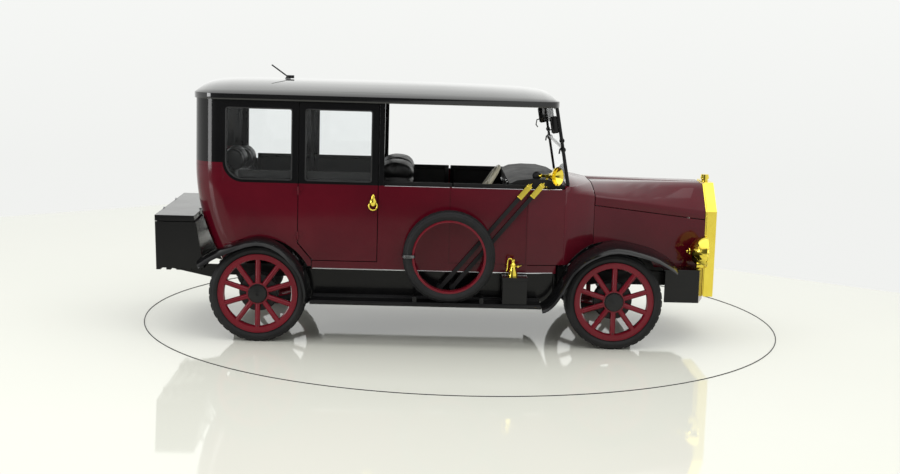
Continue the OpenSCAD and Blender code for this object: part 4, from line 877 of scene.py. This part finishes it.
def make_front_seat():
    """The right front seat as (piece, name, filling) rows, with the padded ones blown up."""
    y = -0.33
    plinth = block((-0.38, y - 0.22, 0.556), (0.115, y + 0.22, 0.735), 0.022, 4)
    seat = join([fluted((-0.13, y - 0.15, 0.735), (0.19, y + 0.15, 0.835), 5, 0.03),
                 *bolsters((-0.15, 0.145, 0.725), (0.212, 0.225, 0.838), y, 0.034),
                 block((0.165, y - 0.215, 0.722), (0.222, y + 0.215, 0.832), 0.026, 4)])
    back = join([fluted((-0.225, y - 0.14, 0.83), (-0.142, y + 0.14, 1.13), 5, 0.03),
                 *bolsters((-0.235, 0.135, 0.79), (-0.128, 0.222, 1.13), y, 0.036),
                 block((-0.235, y - 0.2, 1.09), (-0.145, y + 0.2, 1.155), 0.03, 4)])
    leaning(back, (-0.135, y, 0.83), 26)
    head = join([domed((-0.35, y, 1.27), 0.138, 0.068, 0.185, 1, 3.0),
                 domed((-0.352, y, 1.178), 0.144, 0.05, 0.19, 1, 3.2)])
    return [(plinth, "front_seat_base", 0),
            (puffed(seat, 0.011, 0.022), "front_seat_cushion", CUSHION_FILL),
            (puffed(back, 0.011, 0.022), "front_seat_back", CUSHION_FILL),
            (puffed(head, 0.009, 0.012), "front_head_rest", HEAD_FILL)]


def make_rear_seat():
    """The rear seat in rows like those of the front seat."""
    plinth = block((-1.545, -0.57, 0.556), (-1.1, 0.57, 0.8), 0.024, 4)
    seat = join([fluted((-1.44, -0.5, 0.78), (-1.075, 0.5, 0.893), 9, 0.035),
                 block((-1.12, -0.565, 0.775), (-1.06, 0.565, 0.89), 0.028, 4),
                 *bolsters((-1.45, 0.49, 0.78), (-1.07, 0.57, 0.896), 0, 0.034)])
    back = join([fluted((-1.555, -0.5, 0.86), (-1.465, 0.5, 1.27), 9, 0.035),
                 *bolsters((-1.56, 0.49, 0.85), (-1.455, 0.57, 1.28), 0, 0.036),
                 block((-1.56, -0.55, 1.24), (-1.47, 0.55, 1.3), 0.03, 4)])
    leaning(back, (-1.46, 0, 0.88), 18)
    rests = [leaning(domed(spot, 0.072, 0.096, 0.16, 5), spot, 22)
             for spot in ((-1.59, -0.3, 1.33), (-1.59, 0.3, 1.28))]
    return [(plinth, "rear_seat_base", 0),
            (puffed(seat, 0.014, 0.024), "rear_seat_cushion", CUSHION_FILL),
            (puffed(back, 0.014, 0.024), "rear_seat_back", CUSHION_FILL),
            (puffed(join(rests), 0.011, 0.012), "rear_head_rests", HEAD_FILL)]


def place_cushion(piece, name, node):
    dress(piece, name, "body", LEATHER, 50)
    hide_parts(node)


def make_seats():
    """Both front seats, with the left head restraint set a little lower, and the rear seat."""
    for piece, name, fill in make_front_seat():
        lowered = -0.02 if name == "front_head_rest" else 0.0
        other = copy_of(piece, Matrix.Translation((0, 0, lowered)) @ ACROSS)
        place_cushion(piece, f"{name}_right", "front_seats")
        place_cushion(other, f"{name}_left", "front_seats")
    for piece, name, fill in make_rear_seat():
        place_cushion(piece, name, "rear_seat")


# Windows
def rounded(low, high, radii, steps=8):
    """Points round a window in X and Z; radii run lower rear, lower front, upper front, upper rear."""
    corners = ((low[0], low[1], 180), (high[0], low[1], 270), (high[0], high[1], 0), (low[0], high[1], 90))
    points = []
    for (x, z, start), radius in zip(corners, radii):
        into_x = radius if start in (180, 90) else -radius
        into_z = radius if start in (180, 270) else -radius
        for step in range(steps + 1):
            a = math.radians(start + 90 * step / steps)
            points.append((x + into_x + radius * math.cos(a), z + into_z + radius * math.sin(a)))
    return points


QUARTER_WINDOW = rounded((-1.617, 1.211), (-1.127, 1.741), (0.13, 0.018, 0.018, 0.018))
DOOR_WINDOW = rounded((-1.024, 1.211), (-0.532, 1.741), (0.018,) * 4)
# Columns: distance from the middle line, thickness of the bead
WINDOW_RIMS = ((body_half - 0.0005, 0.0055), (body_half - 0.019, 0.005), (0.676, 0.006))


def make_window_beads():
    """Rubber gasket outside and trim bead inside each side window."""
    for side, sign in SIDES:
        for outline, name, body in ((QUARTER_WINDOW, "quarter_gasket", "body"),
                                    (DOOR_WINDOW, "door_gasket", f"rear_door_{side}")):
            rims = [tube([(x, sign * y, z) for x, z in outline], thick, closed=True)
                    for y, thick in WINDOW_RIMS]
            dress(join(rims), f"{name}_{side}", body, GASKET)


# Cabin
def make_door_cards():
    """Black trim panels inside the walls and doors, and rubber seals behind the doors' gaps."""
    # Columns: name, body, rear end, front end, lower edge, upper edge, sides
    cards = (("quarter_card", "body", -1.53, -1.096, 0.87, 1.276, SIDES),
             ("rear_door_card", "rear_door_{}", -1.055, -0.502, 0.66, 1.276, SIDES),
             ("middle_card", "body", -0.488, 0.074, 0.625, 1.215, SIDES),
             ("front_door_card", "front_door_{}", 0.086, 0.622, 0.64, 1.215, (("left", 1),)),
             ("front_side_card", "body", 0.086, 0.63, 0.64, 1.215, (("right", -1),)))
    for name, body, rear, front, low, high, sides in cards:
        for side, sign in sides:
            a, b = span(sign, 0.66, 0.6758)
            card = block((rear, a, low), (front, b, high), 0.006, 3)
            inset_faces(card, lambda c, n: n.y * sign < -FACING,
                        ((0.035, 0), (0.006, -0.004), (0.012, 0.006)))
            dress(card, f"{name}_{side}", body.format(side), LEATHER)
    # Columns: rear end, front end, lower edge, upper edge, sides
    seals = ((-1.09, -1.064, 0.74, 1.799, SIDES), (-0.49, -0.466, 0.62, 1.799, SIDES),
             (-1.08, -0.476, 1.784, 1.801, SIDES), (-0.96, -0.476, 0.6, 0.622, SIDES),
             (0.636, 0.66, 0.62, 1.18, (("left", 1),)), (0.05, 0.66, 0.6, 0.622, (("left", 1),)))
    for index, (rear, front, low, high, sides) in enumerate(seals):
        for side, sign in sides:
            a, b = span(sign, 0.6688, 0.6752)
            seal = block((rear, a, low), (front, b, high), 0.002, 2)
            dress(seal, f"door_seal_{index}_{side}", "body", GASKET)


def make_instruments():
    """Two round gauges and a row of knobs on the dashboard's rear face."""
    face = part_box("dashboard")[0].x
    aft, gauge_z = (-1, 0, 0), 1.158
    # Columns of the outlines: radius, distance out of the dashboard
    rim = [(0.05, 0.0), (0.05, 0.01), (0.047, 0.014), (0.043, 0.013), (0.04, 0.006), (0.04, 0.0)]
    dial = [(0.0, 0.004), (0.041, 0.004), (0.041, 0.0), (0.0, 0.0)]
    pivot = [(0.0, 0.0), (0.005, 0.0), (0.0045, 0.004), (0.0, 0.005)]
    knob = [(0.004, 0.0), (0.004, 0.012), (0.013, 0.014), (0.014, 0.022), (0.01, 0.026), (0.0, 0.026)]
    rims, dials, marks = [], [], []
    for y in (-0.405, -0.255):
        centre = (face + 0.001, y, gauge_z)
        rims.append(lathe(rim, centre, aft, 64))
        dials.append(lathe(dial, centre, aft, 48))
        for index in range(11):
            a = math.radians(-120 + 24 * index)
            ends = [(face - 0.0042, y + r * math.sin(a), gauge_z + r * math.cos(a)) for r in (0.029, 0.036)]
            marks.append(tube(ends, 0.0011, sides=1))
        needle = [(face - 0.0062, y, gauge_z), (face - 0.0062, y - 0.022, 1.144)]
        marks.append(tube(needle, 0.0013, sides=1))
        marks.append(lathe(pivot, (face - 0.0025, y, gauge_z), aft, 24))
    for y in (0.1, 0.16, 0.22):
        rims.append(lathe(knob, (face + 0.002, y, 1.16), aft, 32))
    dress(join(rims), "gauge_rims", "body", CHROME)
    dress(join(dials), "gauge_dials", "body", TRIM)
    dress(join(marks), "gauge_marks", "body", IVORY)


# Outside fittings
def make_board_trims():
    """Ribs and edge strips on the running boards, and a bright line under the sills."""
    rear, front, top, rib_half = -0.96, 0.75, 0.335, 0.004
    for side, sign in SIDES:
        ribs = []
        for y in (0.632, 0.65, 0.668, 0.686, 0.704, 0.722, 0.894):
            a, b = span(sign, y - rib_half, y + rib_half)
            ribs.append(block((rear, a, top - 0.001), (front, b, top + 0.0035), 0.0015, 2))
        dress(join(ribs), f"board_ribs_{side}", "body", RUBBER)
        sill = ((rear, 0.7185), (0.647, 0.7185), (0.85, 0.6835))
        line = tube([(x, sign * y, 0.5485) for x, y in sill], 0.0042)
        dress(line, f"sill_line_{side}", "body", CHROME)
        edge = tube([(rear, sign * 0.903, 0.324), (front, sign * 0.903, 0.324)], 0.006)
        dress(edge, f"board_edge_{side}", "body", BLACK_PAINT)


def make_belt_strips():
    """Slim polished strips on top of the low sides of the front opening, at the outer edge."""
    half = body_half - 0.011
    flatten = about((0, 0, belt_z), Matrix.Diagonal((1, 1, 0.4, 1)))
    for side, sign in SIDES:
        door_body = "body" if sign < 0 else "front_door_left"
        runs = [("belt_strip_rear", "body", [(-0.43, half), (0.055, half)]),
                ("belt_strip_door", door_body, [(0.072, half), (0.637, half)]),
                ("belt_strip_front", "body", [(0.66, half - 0.002), (0.9, half - 0.043)])]
        for name, body, run in runs:
            piece = tube([(x, sign * y, belt_z) for x, y in run], 0.008, sides=4)
            piece.data.transform(flatten)
            dress(piece, f"{name}_{side}", body, CHROME)


def make_lever_rods():
    """Release buttons at the ends of the hand levers' grips, and collars round the grips."""
    lean = math.radians(50.5)
    along = Vector((math.cos(lean), 0, math.sin(lean)))
    over = Vector((-along.z, 0, along.x))
    grip_start, grip_end = 0.905, 1.032
    button = [(0.0, 0.0), (0.011, 0.0), (0.011, 0.006), (0.005, 0.008), (0.005, 0.016), (0.0, 0.0175)]
    loop = rounded((-0.0212, -0.0152), (0.0212, 0.0152), (0.005,) * 4, 4)
    parts = []
    for pivot in (Vector((0.0, -0.738, 0.422)), Vector((0.095, -0.738, 0.432))):
        parts.append(lathe(button, pivot + along * grip_end, along, 32))
        for shift in (0.006, 0.112):
            collar = pivot + along * (grip_start + shift)
            parts.append(tube([collar + over * a + Vector((0, c, 0)) for a, c in loop], 0.0022, closed=True))
    dress(join(parts), "lever_rods", "body", BRASS_METAL)


def make_ring_bosses():
    """Drop-shaped brass bosses that hold the doors' ring handles."""
    profile = [(0.0, -0.034), (0.011, -0.03), (0.02, -0.014), (0.021, -0.002), (0.015, 0.012), (0.009, 0.024),
               (0.011, 0.031), (0.007, 0.04), (0.0, 0.05)]
    for side, sign in SIDES:
        spot = Vector((-0.515, sign * (body_half + 0.014), 1.069))
        boss = lathe(profile, spot, (0, 0, 1), 40)
        boss.data.transform(about(spot, Matrix.Diagonal((1.25, 0.8, 1.15, 1))))
        dress(boss, f"ring_boss_{side}", f"rear_door_{side}", BRASS_METAL)


def make_lamp_trims():
    """Rims, fixing screws, foot and rear cap of each headlamp."""
    lamp_y, screw_r = 0.492, 0.1215
    screw = [(0.0, 0.0), (0.0065, 0.0), (0.0065, 0.006), (0.004, 0.0085), (0.0, 0.0085)]
    foot = [(0.024, 0.0), (0.024, 0.006), (0.017, 0.012), (0.015, 0.02)]
    cap = [(0.0, 0.0), (0.032, 0.0), (0.03, 0.006), (0.014, 0.014), (0.01, 0.024), (0.0, 0.026)]
    for side, sign in SIDES:
        centre = Vector((2.046, sign * lamp_y, 0.712))
        parts = [ring(0.117, 0.0065, centre + Vector((0.001, 0, 0)), "X"),
                 ring(0.112, 0.004, centre + Vector((-0.026, 0, 0)), "X")]
        for degrees in (90, 210, 330):
            a = math.radians(degrees)
            spot = centre + Vector((-0.007, math.cos(a) * screw_r, math.sin(a) * screw_r))
            parts.append(lathe(screw, spot, (0, math.cos(a), math.sin(a)), 24))
        parts.append(lathe(foot, (1.996, sign * lamp_y, 0.5748), (0, 0, 1), 40))
        parts.append(lathe(cap, centre + Vector((-0.124, 0, 0)), (-1, 0, 0), 40))
        dress(join(parts), f"lamp_rims_{side}", "body", BRASS_METAL)


def make_gas_generator():
    """Brass bell of the lamps' gas generator, with its pipe to the rear and a tap."""
    low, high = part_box("gas_generator")
    foot = Vector((0.5434, (low.y + high.y) / 2, low.z + 0.0005))
    outline = [(0.0, 0.0), (0.038, 0.0), (0.0385, 0.006), (0.036, 0.016), (0.029, 0.036), (0.0235, 0.056),
               (0.021, 0.078), (0.0225, 0.081), (0.0225, 0.088), (0.018, 0.094), (0.0125, 0.1),
               (0.0125, 0.114), (0.0165, 0.117), (0.0165, 0.126), (0.01, 0.131), (0.0, 0.132)]
    bell = lathe(outline, foot, (0, 0, 1), 48)
    route = [(0, 0.118), (-0.016, 0.13), (-0.03, 0.131), (-0.039, 0.122), (-0.042, 0.104), (-0.042, 0.07),
             (-0.044, 0.05), (-0.05, 0.036)]
    pipe = tube([foot + Vector((x, 0, z)) for x, z in route], 0.0058, sides=4)
    tap = tube([foot + Vector((x, 0, z)) for x, z in ((0.014, 0.07), (0.04, 0.074), (0.064, 0.083))], 0.0042)
    knob = lathe([(0.0, -0.006), (0.008, -0.006), (0.009, 0.0), (0.008, 0.006), (0.0, 0.006)],
                 foot + Vector((0.038, 0, 0.0735)), (0, 1, 0), 24)
    dress(join([bell, pipe, tap, knob]), "gas_bell", "body", BRASS_METAL)
    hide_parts("gas_generator")


def make_horn():
    """Bulb horn on the belt ahead of the driver, its mouth turned out to the side of the road."""
    way = Vector((0.74, -0.66, 0.06)).normalized()
    mouth = Vector((0.866, -0.655, 1.283))
    # Columns: radius, distance back from the mouth; the outside first, then the inside of the bell
    bell = [(0.0085, 0.158), (0.0105, 0.12), (0.0145, 0.09), (0.021, 0.066), (0.031, 0.044), (0.0445, 0.024),
            (0.0575, 0.009), (0.0655, 0.0015), (0.0675, -0.0015), (0.066, -0.0035), (0.063, -0.001),
            (0.055, 0.008), (0.042, 0.023), (0.0285, 0.043), (0.0185, 0.066), (0.012, 0.09), (0.008, 0.12),
            (0.006, 0.158), (0.0085, 0.158)]
    horn = lathe([(r * 1.07, -back) for r, back in bell], mouth, way, 64)
    collar = [(0.0, 0.172), (0.0135, 0.172), (0.015, 0.155), (0.0135, 0.15), (0.0, 0.15)]
    ferrule = lathe(collar, mouth, -way, 40)
    post = mouth - way * 0.1
    stand = tube([Vector((post.x, post.y, 1.182)), post - Vector((0, 0, 0.012))], 0.008, sides=4)
    base = lathe([(0.0, 0.0), (0.026, 0.0), (0.026, 0.004), (0.013, 0.01), (0.009, 0.02), (0.0, 0.02)],
                 (post.x, post.y, 1.1845), (0, 0, 1), 40)
    dress(join([horn, ferrule, stand, base]), "horn_bell", "body", BRASS_METAL)
    bulb = lathe([(0.0, 0.166), (0.012, 0.167), (0.021, 0.173), (0.03, 0.186), (0.0325, 0.2), (0.029, 0.215),
                  (0.018, 0.226), (0.0, 0.23)], mouth, -way, 48)
    dress(bulb, "horn_bulb", "body", RUBBER)
    for piece in (horn, bulb):
        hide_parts("horn")


def make_windscreen_fittings():
    """Hinge clamps and wiper housings on the windscreen's posts, and a mirror under the roof."""
    lean = math.radians(10.4)
    up = Vector((-math.sin(lean), 0, math.cos(lean)))
    foot = Vector((0.956, 0, 1.2095))
    clamp = [(0.0, 0.0), (0.02, 0.0), (0.02, 0.01), (0.012, 0.014), (0.012, 0.02), (0.018, 0.022),
             (0.018, 0.03), (0.0, 0.033)]

    def faces_aft(centre, normal):
        return normal.x < -FACING

    def bent(start, *moves):
        return [start] + [start + Vector((x, 0, z)) for x, z in moves]

    parts = []
    for side, sign in SIDES:
        for along in (0.275, 0.345):
            spot = foot + up * along + Vector((0, sign * 0.589, 0))
            parts.append(lathe(clamp, spot, (0, sign, 0), 32))
        case = block((-0.062, -0.014, 0.405), (-0.012, 0.014, 0.535), 0.01, 4)
        inset_faces(case, faces_aft, ((0.006, 0.004),))
        post = foot + Vector((0, sign * 0.575, 0))
        case.data.transform(Matrix.Translation(post) @ Matrix.Rotation(-lean, 4, "Y"))
        parts.append(case)
        arm = foot + up * 0.43 + Vector((-0.055, sign * 0.575, 0))
        parts.append(tube(bent(arm, (-0.03, -0.01), (-0.036, -0.05), (-0.02, -0.07)), 0.005))
        brace = foot + up * 0.3 + Vector((0, sign * 0.605, 0))
        parts.append(tube(bent(brace, (-0.022, -0.02), (-0.026, -0.055)), 0.006))
    stem = [foot + up * along + Vector((x, 0, 0)) for along, x in ((0.585, -0.01), (0.54, -0.05))]
    parts.append(tube(stem, 0.005))
    dress(join(parts), "windscreen_fittings", "body", BLACK_PAINT)
    middle = foot + up * 0.53 + Vector((-0.056, 0, 0))
    mirror = block(middle - Vector((0.009, 0.11, 0.026)), middle + Vector((0.009, 0.11, 0.026)), 0.008, 3)
    inset_faces(mirror, faces_aft, ((0.004, -0.002),))
    dress(mirror, "cabin_mirror", "body", TRIM)


def make_splash_panels():
    """Dark panels that close the space between the running boards and the front wings."""
    for side, sign in SIDES:
        a, b = span(sign, 0.588, 0.595)
        panel = block((0.74, a, 0.35), (0.9, b, 0.6), 0.003, 2)
        inset_faces(panel, lambda c, n: n.y * sign > FACING, ((0.02, 0), (0.006, -0.002)))
        dress(panel, f"splash_panel_{side}", "body", BLACK_PAINT)


def make_wing_beads():
    """Black beading that closes the joint between each front wing and the body's lower edge."""
    line = ((0.935, -0.656, 0.598), (0.95, -0.652, 0.61), (1.0, -0.633, 0.653), (1.05, -0.611, 0.699),
            (1.1, -0.587, 0.732), (1.15, -0.559, 0.757), (1.2, -0.543, 0.769), (1.3, -0.519, 0.785))
    bead = tube(line, 0.0095)
    other = copy_of(bead, ACROSS)
    for piece, side in ((bead, "right"), (other, "left")):
        dress(piece, f"wing_bead_{side}", "body", BLACK_PAINT)


def make_spare_strap():
    """Bright strap of three wires round the rear edge of the spare wheel."""
    low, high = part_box("spare_tyre")
    middle = (low + high) / 2
    reach = (high.x - low.x) / 2
    loop = rounded((reach - 0.089, low.y - 0.002), (reach + 0.003, high.y + 0.002),
                   (0.02, 0.036, 0.036, 0.02), 5)
    parts = []
    for shift in (-0.009, 0.0, 0.009):
        turn = math.pi + shift / reach
        wire = [(middle.x + r * math.cos(turn), y, middle.z + r * math.sin(turn)) for r, y in loop]
        parts.append(tube(wire, 0.0046, closed=True))
    dress(join(parts), "spare_strap", "body", STEEL)


def make_trunk_fittings():
    """Two catches on the trunk's lid."""
    low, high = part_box("trunk_lid")
    half, margin = 0.022, 0.006
    for side, sign in SIDES:
        y = sign * 0.28
        plate = block((low.x - 0.006, y - half, low.z + margin), (low.x + 0.004, y + half, high.z - margin),
                      0.003, 3)
        hook = tube([(low.x - 0.006, y, low.z + 0.014), (low.x - 0.011, y, low.z + 0.002),
                     (low.x - 0.008, y, low.z - 0.001)], 0.004)
        dress(join([plate, hook]), f"trunk_catch_{side}", "trunk_lid", CHROME)


set_camera()
make_floor()
make_room()
make_lamps()
paint_nodes()
make_skins()
make_tyres()
make_wheel_trims()
make_seats()
make_window_beads()
make_door_cards()
make_instruments()
make_board_trims()
make_belt_strips()
make_lever_rods()
make_ring_bosses()
make_lamp_trims()
make_gas_generator()
make_horn()
make_windscreen_fittings()
make_splash_panels()
make_wing_beads()
make_spare_strap()
make_trunk_fittings()
